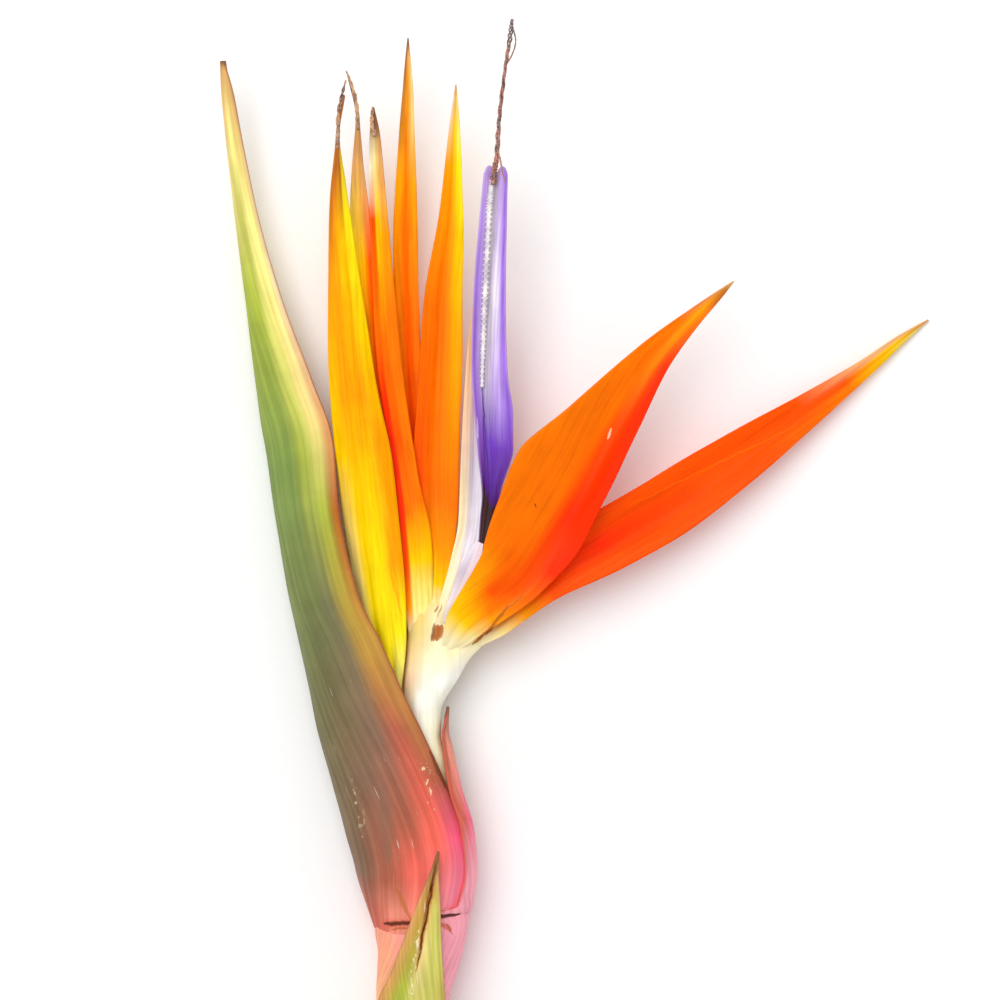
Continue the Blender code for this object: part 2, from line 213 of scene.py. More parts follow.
class Bench:
    """Adds and joins shader nodes in one tree."""

    def __init__(self, tree: bpy.types.NodeTree) -> None:
        """Keeps the tree to work on."""
        self.tree = tree

    def put(self, kind: str, **settings: object) -> bpy.types.Node:
        """Adds a node and sets its properties.

        Args:
            kind: the node's type.
            settings: properties to set on it.

        Returns:
            The node.
        """
        made = self.tree.nodes.new(kind)
        for key, value in settings.items():
            setattr(made, key, value)
        return made

    def feed(self, socket: bpy.types.NodeSocket, value: object) -> None:
        """Sets a socket, or joins another socket to it."""
        if isinstance(value, bpy.types.NodeSocket):
            self.tree.links.new(value, socket)
        else:
            socket.default_value = value

    def uv(self, layer: str) -> tuple[bpy.types.NodeSocket, bpy.types.NodeSocket, bpy.types.NodeSocket]:
        """Reads a UV layer.

        Args:
            layer: the layer's name.

        Returns:
            Its vector and its two numbers.
        """
        source = self.put("ShaderNodeUVMap", uv_map=layer)
        parts = self.put("ShaderNodeSeparateXYZ")
        self.feed(parts.inputs[0], source.outputs[0])
        return source.outputs[0], parts.outputs[0], parts.outputs[1]

    def place(self) -> bpy.types.NodeSocket:
        """The object's own coordinates, in metres."""
        return self.put("ShaderNodeTexCoord").outputs["Object"]

    def math(self, operation: str, a: object, b: object = 0.0, clamp: bool = False) -> bpy.types.NodeSocket:
        """Adds one sum.

        Args:
            operation: which sum.
            a: first number or socket.
            b: second number or socket.
            clamp: keep the result from 0 to 1.

        Returns:
            The result.
        """
        made = self.put("ShaderNodeMath", operation=operation, use_clamp=clamp)
        self.feed(made.inputs[0], a)
        self.feed(made.inputs[1], b)
        return made.outputs[0]

    def span(self, value: object, low: float, high: float, start: float = 0.0, end: float = 1.0,
             soft: bool = True) -> bpy.types.NodeSocket:
        """Maps low..high to start..end.

        Args:
            value: number or socket to map.
            low: where the map starts.
            high: where it ends.
            start: result at low.
            end: result at high.
            soft: ease in and out.

        Returns:
            The mapped number.
        """
        made = self.put("ShaderNodeMapRange", interpolation_type="SMOOTHSTEP" if soft else "LINEAR")
        for at, item in enumerate((value, low, high, start, end)):
            self.feed(made.inputs[at], item)
        return made.outputs[0]

    def ramp(self, share: object, stops: Stops) -> bpy.types.NodeSocket:
        """Adds a colour ramp.

        Args:
            share: place on the ramp, 0 to 1.
            stops: places and colours, in order.

        Returns:
            The colour.
        """
        made = self.put("ShaderNodeValToRGB")
        bar = made.color_ramp.elements
        bar[0].position, bar[0].color = stops[0][0], paint(stops[0][1])
        bar[1].position, bar[1].color = stops[-1][0], paint(stops[-1][1])
        for place, code in stops[1:-1]:
            bar.new(place).color = paint(code)
        self.feed(made.inputs[0], share)
        return made.outputs[0]

    def blend(self, amount: object, under: object, over: object) -> bpy.types.NodeSocket:
        """Lays one colour over another.

        Args:
            amount: how much of the upper colour shows.
            under: the lower colour.
            over: the upper colour.

        Returns:
            The mixed colour.
        """
        made = self.put("ShaderNodeMix", data_type="RGBA")
        self.feed(made.inputs[0], amount)
        self.feed(made.inputs[6], under)
        self.feed(made.inputs[7], over)
        return made.outputs[2]

    def use(self, group: bpy.types.NodeTree, **values: object) -> bpy.types.Node:
        """Places a shared group.

        Args:
            group: the group.
            values: what its inputs get, with _ for a space in a name.

        Returns:
            The group's node.
        """
        made = self.put("ShaderNodeGroup", node_tree=group)
        for key, value in values.items():
            self.feed(made.inputs[key.replace("_", " ")], value)
        return made


class Effects:
    """The effects that several finishes share, each built once as a node group."""

    def __init__(self) -> None:
        """Builds every group."""
        self.fibres = self._fibres()
        self.mottle = self._mottle()
        self.flecks = self._sheen_flecks()
        self.dryness = self._dryness()
        self.stain_and_light_line = self._stain_and_light_line()

    @staticmethod
    def _open(name: str, inputs: tuple[tuple[str, str], ...],
              outputs: tuple[tuple[str, str], ...]) -> tuple[Bench, dict, bpy.types.Node]:
        """Starts a group.

        Args:
            name: the group's name.
            inputs: socket names and types.
            outputs: socket names and types.

        Returns:
            The bench, the input sockets by name, and the output node.
        """
        tree = bpy.data.node_groups.new(name, "ShaderNodeTree")
        for label, kind in inputs:
            tree.interface.new_socket(name=label, in_out="INPUT", socket_type=kind)
        for label, kind in outputs:
            tree.interface.new_socket(name=label, in_out="OUTPUT", socket_type=kind)
        bench = Bench(tree)
        entry = bench.put("NodeGroupInput")
        leave = bench.put("NodeGroupOutput")
        return bench, {socket.name: socket for socket in entry.outputs if socket.name}, leave

    @staticmethod
    def _stretched(bench: Bench, sockets: dict, detail: float, factor: float = 1.0) -> bpy.types.NodeSocket:
        """Adds noise drawn out along a piece.

        Args:
            bench: where the nodes go.
            sockets: the group's inputs, with both rates.
            detail: the noise's detail.
            factor: multiplies both rates.

        Returns:
            The noise.
        """
        rate = bench.put("ShaderNodeCombineXYZ")
        bench.feed(rate.inputs[0], bench.math("MULTIPLY", sockets["Along Rate"], factor))
        bench.feed(rate.inputs[1], bench.math("MULTIPLY", sockets["Across Rate"], factor))
        bench.feed(rate.inputs[2], bench.math("MULTIPLY", sockets["Across Rate"], factor))
        scaled = bench.put("ShaderNodeVectorMath", operation="MULTIPLY")
        bench.feed(scaled.inputs[0], sockets["Vector"])
        bench.feed(scaled.inputs[1], rate.outputs[0])
        grain = bench.put("ShaderNodeTexNoise")
        bench.feed(grain.inputs["Vector"], scaled.outputs[0])
        bench.feed(grain.inputs["Scale"], 1.0)
        bench.feed(grain.inputs["Detail"], detail)
        return grain.outputs[0]

    def _fibres(self) -> bpy.types.NodeTree:
        """Lengthwise veins: a shade from 0 to 1 and a height.

        Returns:
            The group's tree.
        """
        bench, sockets, leave = self._open(
            "plant_fibres",
            (("Vector", "NodeSocketVector"), ("Along Rate", "NodeSocketFloat"),
             ("Across Rate", "NodeSocketFloat")),
            (("Shade", "NodeSocketFloat"), ("Height", "NodeSocketFloat")))
        broad = self._stretched(bench, sockets, 2.0)
        fine = self._stretched(bench, sockets, 1.0, 3.1)
        bench.feed(leave.inputs["Shade"], bench.span(broad, 0.32, 0.68))
        total = bench.math("ADD", bench.math("MULTIPLY", broad, 0.65), bench.math("MULTIPLY", fine, 0.35))
        bench.feed(leave.inputs["Height"], total)
        return bench.tree

    def _mottle(self) -> bpy.types.NodeTree:
        """Soft blotches of tone at a given number per metre.

        Returns:
            The group's tree.
        """
        bench, sockets, leave = self._open(
            "tissue_mottle", (("Vector", "NodeSocketVector"), ("Rate", "NodeSocketFloat")),
            (("Shade", "NodeSocketFloat"),))
        grain = bench.put("ShaderNodeTexNoise")
        bench.feed(grain.inputs["Vector"], sockets["Vector"])
        bench.feed(grain.inputs["Scale"], sockets["Rate"])
        bench.feed(grain.inputs["Detail"], 3.0)
        bench.feed(leave.inputs["Shade"], bench.span(grain.outputs[0], 0.3, 0.7))
        return bench.tree

    def _sheen_flecks(self) -> bpy.types.NodeTree:
        """Broken, drawn-out flecks of painted sheen inside a zone, standing in for highlights on wrinkled
        tissue; Amount 0 to 1 sets how many.

        Returns:
            The group's tree.
        """
        bench, sockets, leave = self._open(
            "painted_sheen_flecks",
            (("Vector", "NodeSocketVector"), ("Along Rate", "NodeSocketFloat"),
             ("Across Rate", "NodeSocketFloat"),
             ("Zone", "NodeSocketFloat"), ("Amount", "NodeSocketFloat")),
            (("Mask", "NodeSocketFloat"),))
        grain = self._stretched(bench, sockets, 3.0)
        limit = bench.math("SUBTRACT", 0.72, bench.math("MULTIPLY", sockets["Amount"], 0.2))
        over = bench.math("SUBTRACT", grain, limit)
        sharp = bench.math("MULTIPLY", over, 14.0, clamp=True)
        bench.feed(leave.inputs["Mask"], bench.math("MULTIPLY", sharp, sockets["Zone"], clamp=True))
        return bench.tree

    def _dryness(self) -> bpy.types.NodeTree:
        """Where a tip has dried: Along past Start, with a ragged front.

        Returns:
            The group's tree.
        """
        bench, sockets, leave = self._open(
            "dry_tip",
            (("Vector", "NodeSocketVector"), ("Along", "NodeSocketFloat"), ("Start", "NodeSocketFloat"),
             ("Reach", "NodeSocketFloat")),
            (("Mask", "NodeSocketFloat"),))
        grain = bench.put("ShaderNodeTexNoise")
        bench.feed(grain.inputs["Vector"], sockets["Vector"])
        bench.feed(grain.inputs["Scale"], 900.0)
        ragged = bench.math("MULTIPLY", bench.math("SUBTRACT", grain.outputs[0], 0.5), sockets["Reach"])
        past = bench.math("SUBTRACT", bench.math("ADD", sockets["Along"], ragged), sockets["Start"])
        bench.feed(leave.inputs["Mask"], bench.math("DIVIDE", past, sockets["Reach"], clamp=True))
        return bench.tree

    def _stain_and_light_line(self) -> bpy.types.NodeTree:
        """A ragged, tapering line seen from above: Start, Heading, Length and half Width. It draws stains and
        cracks, and also painted shade and painted highlights.

        Returns:
            The group's tree.
        """
        bench, sockets, leave = self._open(
            "stain_and_light_stroke",
            (("Vector", "NodeSocketVector"), ("Start", "NodeSocketVector"), ("Heading", "NodeSocketVector"),
             ("Length", "NodeSocketFloat"), ("Width", "NodeSocketFloat")),
            (("Mask", "NodeSocketFloat"),))
        away = bench.put("ShaderNodeVectorMath", operation="SUBTRACT")
        bench.feed(away.inputs[0], sockets["Vector"])
        bench.feed(away.inputs[1], sockets["Start"])
        stray = bench.put("ShaderNodeTexNoise")
        bench.feed(stray.inputs["Vector"], sockets["Vector"])
        bench.feed(stray.inputs["Scale"], 320.0)
        bent = bench.put("ShaderNodeVectorMath", operation="MULTIPLY_ADD")
        bench.feed(bent.inputs[0], stray.outputs["Color"])
        bench.feed(bent.inputs[1], (0.0009, 0.0009, 0.0))
        bench.feed(bent.inputs[2], away.outputs[0])
        flat = bench.put("ShaderNodeVectorMath", operation="MULTIPLY_ADD")
        bench.feed(flat.inputs[0], bent.outputs[0])
        bench.feed(flat.inputs[1], (1.0, 1.0, 0.0))
        bench.feed(flat.inputs[2], (-0.00045, -0.00045, 0.0))
        along = bench.put("ShaderNodeVectorMath", operation="DOT_PRODUCT")
        bench.feed(along.inputs[0], flat.outputs[0])
        bench.feed(along.inputs[1], sockets["Heading"])
        held = bench.put("ShaderNodeClamp")
        bench.feed(held.inputs["Value"], along.outputs["Value"])
        bench.feed(held.inputs["Min"], 0.0)
        bench.feed(held.inputs["Max"], sockets["Length"])
        foot = bench.put("ShaderNodeVectorMath", operation="SCALE")
        bench.feed(foot.inputs[0], sockets["Heading"])
        bench.feed(foot.inputs["Scale"], held.outputs[0])
        gap = bench.put("ShaderNodeVectorMath", operation="DISTANCE")
        bench.feed(gap.inputs[0], flat.outputs[0])
        bench.feed(gap.inputs[1], foot.outputs[0])
        grain = bench.put("ShaderNodeTexNoise")
        bench.feed(grain.inputs["Vector"], sockets["Vector"])
        bench.feed(grain.inputs["Scale"], 1400.0)
        ragged_width = bench.math("MULTIPLY", sockets["Width"], bench.math("ADD", grain.outputs[0], 0.5))
        place = bench.math("DIVIDE", held.outputs[0], sockets["Length"], clamp=True)
        arch = bench.math("MULTIPLY", bench.math("MULTIPLY", place, bench.math("SUBTRACT", 1.0, place)), 4.0)
        taper = bench.math("ADD", bench.math("POWER", arch, 0.6), 0.25)
        ratio = bench.math("DIVIDE", gap.outputs["Value"], bench.math("MULTIPLY", ragged_width, taper))
        bench.feed(leave.inputs["Mask"], bench.span(ratio, 0.35, 1.2, 1.0, 0.0))
        return bench.tree


@dataclass(frozen=True)
class Mark:
    """A line or spot of another colour on a piece, in millimetres seen from above; some marks are stains and
    cracks, others painted shade or painted highlights.
    """

    start: tuple[float, float]
    end: tuple[float, float]
    width: float
    colour: str
    strength: float = 1.0
    # Share of the mark broken into painted sheen flecks; a speckled mark is a painted highlight
    sheen_speckle: float = 0.0


@dataclass(frozen=True)
class TissueFinish:
    """Living petal or leaf tissue: colour columns across, ramps along, veins, margins, dry tips and painted
    sheen flecks.

    Each column is a place across the piece, 0 left to 1 right, with the ramp that holds there.
    """

    name: str
    columns: Columns
    vein_rate: tuple[float, float] = (0.9, 16.0)
    vein_tint: float = 0.10
    vein_relief: float = 0.22
    mottle_tint: float = 0.05
    margin: tuple[float, str, float] = (0.0, Tone.WHITE, 0.0)
    dry: tuple[float, float, str] = (2.0, 0.02, Tone.WHITE)
    # Painted sheen: amount, start and stop along the piece of near-white flecks standing in for highlights;
    # the band below sets where across
    painted_sheen: tuple[float, float, float] = (0.0, 0.0, 0.0)
    painted_sheen_band: tuple[float, float] = (0.0, 1.0)
    marks: tuple[Mark, ...] = ()
    roughness: float = 0.42
    gloss: float = 0.05
    glow: float = 0.0
    foot: tuple[float, str] = (0.0, Tone.WHITE)

    def make(self, effects: Effects) -> bpy.types.Material:
        """Builds the material.

        Args:
            effects: the shared node groups.

        Returns:
            The finished material.
        """
        made = bpy.data.materials.new(self.name)
        made.use_nodes = True
        made.node_tree.nodes.clear()
        bench = Bench(made.node_tree)
        _, along, across = bench.uv("span")
        size, _, _ = bench.uv("size")
        _, edge, _ = bench.uv("edge")
        spot = bench.place()
        colour = bench.ramp(along, self.columns[0][1])
        for (left, _), (right, stops) in zip(self.columns, self.columns[1:]):
            colour = bench.blend(bench.span(across, left, right), colour, bench.ramp(along, stops))
        veins = bench.use(effects.fibres, Vector=size, Along_Rate=self.vein_rate[0],
                          Across_Rate=self.vein_rate[1])
        shade = self._tint(bench, veins.outputs["Shade"], self.vein_tint)
        blotch = bench.use(effects.mottle, Vector=spot, Rate=160.0)
        tone = self._tint(bench, blotch.outputs["Shade"], self.mottle_tint)
        both = bench.math("MULTIPLY", shade, tone)
        toned = bench.put("ShaderNodeVectorMath", operation="SCALE")
        bench.feed(toned.inputs[0], colour)
        bench.feed(toned.inputs["Scale"], both)
        colour = toned.outputs[0]
        if self.foot[0] > 0.0:
            sunk = bench.span(along, -self.foot[0], 0.25 * self.foot[0], 1.0, 0.0)
            colour = bench.blend(sunk, colour, paint(self.foot[1]))
        if self.margin[2] > 0.0:
            near = bench.span(edge, 0.0, self.margin[0], self.margin[2], 0.0)
            colour = bench.blend(near, colour, paint(self.margin[1]))
        # Painted sheen: near-white flecks over a zone, standing in for highlights on wrinkled tissue
        if self.painted_sheen[0] > 0.0:
            low = bench.span(across, self.painted_sheen_band[0], self.painted_sheen_band[0] + 0.12)
            high = bench.span(across, self.painted_sheen_band[1] - 0.12, self.painted_sheen_band[1], 1.0, 0.0)
            start = bench.span(along, self.painted_sheen[1] - 0.08, self.painted_sheen[1] + 0.08)
            stop = bench.span(along, self.painted_sheen[2] - 0.06, self.painted_sheen[2] + 0.06, 1.0, 0.0)
            band = bench.math("MULTIPLY", low, high)
            zone = bench.math("MULTIPLY", band, bench.math("MULTIPLY", start, stop))
            painted_sheen = bench.use(effects.flecks, Vector=size, Along_Rate=1.6, Across_Rate=24.0, Zone=zone,
                            Amount=self.painted_sheen[0])
            colour = bench.blend(bench.math("MULTIPLY", painted_sheen.outputs[0], 0.5), colour, paint(Tone.SHEEN_WHITE))
        for mark in self.marks:
            colour = self._marked(bench, effects, spot, colour, mark)
        dried = bench.use(effects.dryness, Vector=spot, Along=along, Start=self.dry[0], Reach=self.dry[1])
        colour = bench.blend(dried.outputs[0], colour, paint(self.dry[2]))
        bump = bench.put("ShaderNodeBump")
        bench.feed(bump.inputs["Strength"], self.vein_relief)
        bench.feed(bump.inputs["Distance"], 0.00035)
        bench.feed(bump.inputs["Height"], veins.outputs["Height"])
        shader = bench.put("ShaderNodeBsdfPrincipled")
        bench.feed(shader.inputs["Base Color"], colour)
        sheen = bench.span(veins.outputs["Shade"], 0.0, 1.0, self.roughness + 0.08, self.roughness - 0.05,
                           False)
        bench.feed(shader.inputs["Roughness"], sheen)
        bench.feed(shader.inputs["Normal"], bump.outputs[0])
        shader.inputs["Specular IOR Level"].default_value = self.gloss
        if self.glow > 0.0:
            shader.inputs["Subsurface Weight"].default_value = self.glow
            shader.inputs["Subsurface Radius"].default_value = (1.0, 0.5, 0.25)
            shader.inputs["Subsurface Scale"].default_value = 0.0012
        leave = bench.put("ShaderNodeOutputMaterial")
        bench.feed(leave.inputs[0], shader.outputs[0])
        return made

    @staticmethod
    def _tint(bench: Bench, shade: bpy.types.NodeSocket, depth: float) -> bpy.types.NodeSocket:
        """A shade from 0 to 1 as a factor from 1 - depth to 1 + depth."""
        return bench.span(shade, 0.0, 1.0, 1.0 - depth, 1.0 + depth, False)

    @staticmethod
    def _marked(bench: Bench, effects: Effects, spot: bpy.types.NodeSocket, colour: bpy.types.NodeSocket,
                mark: Mark) -> bpy.types.NodeSocket:
        """Draws one mark over a colour.

        Args:
            bench: where the nodes go.
            effects: the shared node groups.
            spot: the place on the piece.
            colour: the colour under the mark.
            mark: the mark.

        Returns:
            The colour with the mark on it.
        """
        run = Vector((mark.end[0] - mark.start[0], mark.end[1] - mark.start[1], 0.0))
        line = bench.use(effects.stain_and_light_line, Vector=spot, Start=(mark.start[0] * MM, mark.start[1] * MM, 0.0),
                         Heading=tuple(run.normalized()), Length=run.length * MM, Width=mark.width * MM)
        mask = bench.math("MULTIPLY", line.outputs[0], mark.strength)
        # A speckled mark is painted sheen: its mask is broken into highlight flecks
        if mark.sheen_speckle > 0.0:
            painted_sheen = bench.use(effects.flecks, Vector=spot, Along_Rate=1500.0, Across_Rate=700.0, Zone=mask,
                            Amount=mark.sheen_speckle)
            mask = painted_sheen.outputs[0]
        return bench.blend(mask, colour, paint(mark.colour))


@dataclass(frozen=True)
class DryFinish:
    """Dried, twisted tissue: brown and purple-grey streaks over a rough surface."""

    name: str
    light: str
    dark: str
    roughness: float = 0.7

    def make(self, effects: Effects) -> bpy.types.Material:
        """Builds the material.

        Args:
            effects: the shared node groups.

        Returns:
            The finished material.
        """
        made = bpy.data.materials.new(self.name)
        made.use_nodes = True
        made.node_tree.nodes.clear()
        bench = Bench(made.node_tree)
        spot = bench.place()
        patches = bench.use(effects.mottle, Vector=spot, Rate=420.0)
        fine = bench.use(effects.mottle, Vector=spot, Rate=2200.0)
        colour = bench.blend(patches.outputs[0], paint(self.dark), paint(self.light))
        colour = bench.blend(bench.math("MULTIPLY", fine.outputs[0], 0.35), colour, paint(Tone.DUST))
        bump = bench.put("ShaderNodeBump")
        bench.feed(bump.inputs["Strength"], 0.5)
        bench.feed(bump.inputs["Distance"], 0.0002)
        bench.feed(bump.inputs["Height"], fine.outputs[0])
        shader = bench.put("ShaderNodeBsdfPrincipled")
        bench.feed(shader.inputs["Base Color"], colour)
        bench.feed(shader.inputs["Normal"], bump.outputs[0])
        shader.inputs["Roughness"].default_value = self.roughness
        shader.inputs["Specular IOR Level"].default_value = 0.25
        leave = bench.put("ShaderNodeOutputMaterial")
        bench.feed(leave.inputs[0], shader.outputs[0])
        return made


class Reach(Enum):
    """Whether a piece stands for a CAD node or goes with one that is already stood for."""

    STANDS_FOR = "stands for"
    GOES_WITH = "goes with"


@dataclass
class Piece:
    """What every piece of the flower has: a name, the CAD node it belongs to and a finish."""

    name: str
    node: str
    finish: TissueFinish | DryFinish
    reach: Reach = Reach.STANDS_FOR

    def settle(self, bm: bmesh.types.BMesh, effects: Effects) -> bpy.types.Object:
        """Turns a finished bmesh into a dressed piece riding on the flower.

        Args:
            bm: the shape in the row frame; it is freed.
            effects: the shared node groups.

        Returns:
            The piece.
        """
        mesh = bpy.data.meshes.new(self.name)
        bm.to_mesh(mesh)
        bm.free()
        mesh.shade_smooth()
        mesh.materials.append(self.finish.make(effects))
        made = bpy.data.objects.new(self.name, mesh)
        bpy.context.scene.collection.objects.link(made)
        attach(made, "root")
        if self.reach is Reach.STANDS_FOR:
            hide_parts(self.node)
        LOG.info("%s %s %s", self.name, self.reach.value, self.node)
        return made

    @staticmethod
    def write_uv(bm: bmesh.types.BMesh, facts: dict) -> None:
        """Writes the span, size and edge layers.

        Args:
            bm: the shape.
            facts: each vertex's place in the three layers.
        """
        for at, layer in enumerate(("span", "size", "edge")):
            uv = bm.loops.layers.uv.new(layer)
            for face in bm.faces:
                for loop in face.loops:
                    loop[uv].uv = facts[loop.vert][at]

    @staticmethod
    def thicken(made: bpy.types.Object, wall: float, offset: float, thin_edge: float) -> None:
        """Gives a sheet its wall, thinner towards its margins.

        Args:
            made: the piece, with its edge layer written.
            wall: thickness in millimetres.
            offset: which way the wall grows, as the Solidify modifier counts it.
            thin_edge: share of the thickness left at the margins.
        """
        group = made.vertex_groups.new(name="body")
        edge = made.data.uv_layers["edge"].data
        for loop in made.data.loops:
            weight = min(1.0, edge[loop.index].uv[0] / THIN_REACH)
            group.add((loop.vertex_index,), weight, "REPLACE")
        solid = made.modifiers.new("wall", "SOLIDIFY")
        solid.thickness = wall * MM
        solid.offset = offset
        solid.use_even_offset = False
        solid.vertex_group = "body"
        solid.thickness_vertex_group = thin_edge


@dataclass
class Blade(Piece):
    """A sepal or petal: a sheet along its midrib, softly folded there.

    Rows run from base to tip: x, y, height, left half width, right half width, rise of the margins.
    """

    rows: Rows = ()
    roll: tuple[float, float] = (0.0, 0.0)
    steps: tuple[int, int] = (110, 26)
    wall: float = 0.8
    fold: float = 0.22
    flutes: float = 0.10
    waver: float = 0.12
    lobes: float = 0.0
    buried: int = 0
    seed: float = 0.0

    def lengths(self) -> tuple[np.ndarray, np.ndarray]:
        """Measures the blade along its midrib.

        Returns:
            Shares along the table and the length to each, in millimetres.
        """
        shares = np.linspace(0.0, 1.0, 161)
        points = np.array([glide(self.rows, share)[:3] for share in shares])
        steps = np.linalg.norm(np.diff(points, axis=0), axis=1)
        return shares, np.concatenate(([0.0], np.cumsum(steps)))

    def build(self, effects: Effects) -> bpy.types.Object:
        """Makes the blade.

        Args:
            effects: the shared node groups.

        Returns:
            The blade.
        """
        bm = bmesh.new()
        bmesh.ops.create_grid(bm, x_segments=self.steps[0], y_segments=self.steps[1], size=0.5)
        shares, lengths = self.lengths()
        spread = math.hypot(1.0, self.fold) - self.fold
        stations: dict[float, tuple] = {}
        facts = {}
        for vert in bm.verts:
            key = round(vert.co.x, 5)
            if key not in stations:
                stations[key] = self._station(vert.co.x + 0.5, shares, lengths)
            centre, side, up, left, right, rise, along, run = stations[key]
            across = 2.0 * vert.co.y
            half = left if across < 0.0 else right
            lift = rise * (math.hypot(across, self.fold) - self.fold) / spread
            flute = math.cos(across * FLUTE_RATE + self.seed) * (1.0 - across * across)
            lift += self.flutes * min(1.0, half / 3.0) * flute
            ripple = noise.noise(Vector((run * 0.045, across * 1.4, self.seed * 3.7)))
            lift += self.waver * min(1.0, half / 2.0) * ripple * (0.5 + abs(across))
            rim_place = Vector((run * 0.06, self.seed + math.copysign(2.0, across), 0.0))
            wobble = 1.0 + RIM_WOBBLE * noise.noise(rim_place)
            reach = self.lobes * math.sin(math.pi * min(1.0, abs(across) * 0.85)) * ease(along, 0.93, 1.0)
            ahead = up.cross(side)
            spot = centre + side * (across * half * wobble) + up * lift + ahead * reach
            vert.co = spot * MM
            girth = across * half * CM
            facts[vert] = ((along, 0.5 + 0.5 * across), (run * CM, girth + self.seed),
                           ((1.0 - abs(across)) * half * CM, 0.0))
        self.write_uv(bm, facts)
        made = self.settle(bm, effects)
        self.thicken(made, self.wall, 0.0, 0.35)
        return made

    def _station(self, share: float, shares: np.ndarray, lengths: np.ndarray) -> tuple:
        """Works out one cross-section.

        Args:
            share: place along the table, 0 to 1.
            shares: shares along the table.
            lengths: the length to each share.

        Returns:
            Its centre, side, up, half widths, rise, share of the seen length, and length.
        """
        x, y, z, left, right, rise = glide(self.rows, share)
        side, up = directions(self.rows, share)
        angle = math.radians(self.roll[0] + (self.roll[1] - self.roll[0]) * share)
        turned_side = side * math.cos(angle) - up * math.sin(angle)
        turned_up = up * math.cos(angle) + side * math.sin(angle)
        run = float(np.interp(share, shares, lengths))
        sunk = float(np.interp(self.buried / (len(self.rows) - 1), shares, lengths))
        along = (run - sunk) / (lengths[-1] - sunk)
        return Vector((x, y, z)), turned_side, turned_up, left, right, rise, along, run


@dataclass
class Sheath(Piece):
    """A rolled leaf: elliptical arcs stacked along the flower, with the wall growing inward.

    Rows: y, centre x, half width, half depth, centre height, first and last angle in degrees.
    """

    rows: Rows = ()
    steps: tuple[int, int] = (150, 64)
    wall: float = 1.0
    ribs: float = 0.10
    keel: float = 0.0
    keel_angle: float = 180.0
    slit: Rows = ()
    seed: float = 0.0

    def build(self, effects: Effects) -> bpy.types.Object:
        """Makes the rolled leaf.

        Args:
            effects: the shared node groups.

        Returns:
            The rolled leaf.
        """
        bm = bmesh.new()
        bmesh.ops.create_grid(bm, x_segments=self.steps[0], y_segments=self.steps[1], size=0.5)
        stations: dict[float, np.ndarray] = {}
        facts = {}
        low, high = self.rows[0][0], self.rows[-1][0]
        for vert in bm.verts:
            key = round(vert.co.x, 5)
            if key not in stations:
                stations[key] = glide(self.rows, vert.co.x + 0.5)
            y, middle, wide, deep, height, first, last = stations[key]
            across = vert.co.y + 0.5
            angle = math.radians(first + (last - first) * across)
            rib = noise.noise(Vector((angle * 5.5, y * 0.012, self.seed)))
            rib += 0.5 * noise.noise(Vector((angle * 13.0, y * 0.02, self.seed + 5.0)))
            swell = self.ribs * rib * min(1.0, wide / 5.0)
            bend = math.cos(angle - math.radians(self.keel_angle))
            swell += self.keel * max(0.0, bend) ** KEEL_SHARPNESS
            swell -= self._slit_depth(y, angle)
            x = middle + (wide + swell) * math.cos(angle)
            vert.co = Vector((x, y, height + (deep + swell) * math.sin(angle))) * MM
            reaches = [math.cos(math.radians(edge)) for edge in (first, last)]
            left = -1.0 if first < 180.0 < last else min(reaches)
            right = 1.0 if first < 0.0 < last else max(reaches)
            share = (math.cos(angle) - left) / (right - left)
            girth = (angle - math.radians(first)) * 0.5 * (wide + deep) * CM
            rim = min(across, 1.0 - across) * math.radians(last - first) * 0.5 * (wide + deep) * CM
            facts[vert] = (((y - low) / (high - low), share), (y * CM, girth), (rim, 0.0))
        self.write_uv(bm, facts)
        made = self.settle(bm, effects)
        self.thicken(made, self.wall, -1.0, 0.4)
        return made

    def _slit_depth(self, y: float, angle: float) -> float:
        """Measures the closed slit of a rolled tip.

        Args:
            y: place along the flower.
            angle: place round the leaf, in radians.

        Returns:
            Its depth there in millimetres.
        """
        if not self.slit or not self.slit[0][0] <= y <= self.slit[-1][0]:
            return 0.0
        places = [row[0] for row in self.slit]
        at = math.radians(float(np.interp(y, places, [row[1] for row in self.slit])))
        deep = float(np.interp(y, places, [row[2] for row in self.slit]))
        return deep * math.exp(-((angle - at) / SLIT_WIDTH) ** 2)


@dataclass
class FleshyTube(Piece):
    """A solid tube with elliptical sections; rows: y, left x, right x, centre height, half depth."""

    rows: Rows = ()
    steps: tuple[int, int] = (90, 48)
    ribs: float = 0.08
    seed: float = 0.0

    def build(self, effects: Effects) -> bpy.types.Object:
        """Makes the tube.

        Args:
            effects: the shared node groups.

        Returns:
            The tube.
        """
        bm = tube_blank(self.steps[1], self.steps[0])
        facts = {}
        low, high = self.rows[0][0], self.rows[-1][0]
        for vert in bm.verts:
            y, left, right, height, deep = glide(self.rows, vert.co.z + 0.5)
            angle = math.atan2(vert.co.y, -vert.co.x)
            rib = noise.noise(Vector((math.cos(angle) * 3.0, math.sin(angle) * 3.0, y * 0.03 + self.seed)))
            grown = 1.0 + self.ribs * rib / max(deep, 1.0)
            x = 0.5 * (left + right) - 0.5 * (right - left) * vert.co.x * grown
            share = (x - left) / max(right - left, 0.01)
            facts[vert] = (((y - low) / (high - low), share), (y * CM, x * CM), (1.0, 0.0))
            vert.co = Vector((x, y, height + deep * vert.co.y * grown)) * MM
        self.write_uv(bm, facts)
        return self.settle(bm, effects)


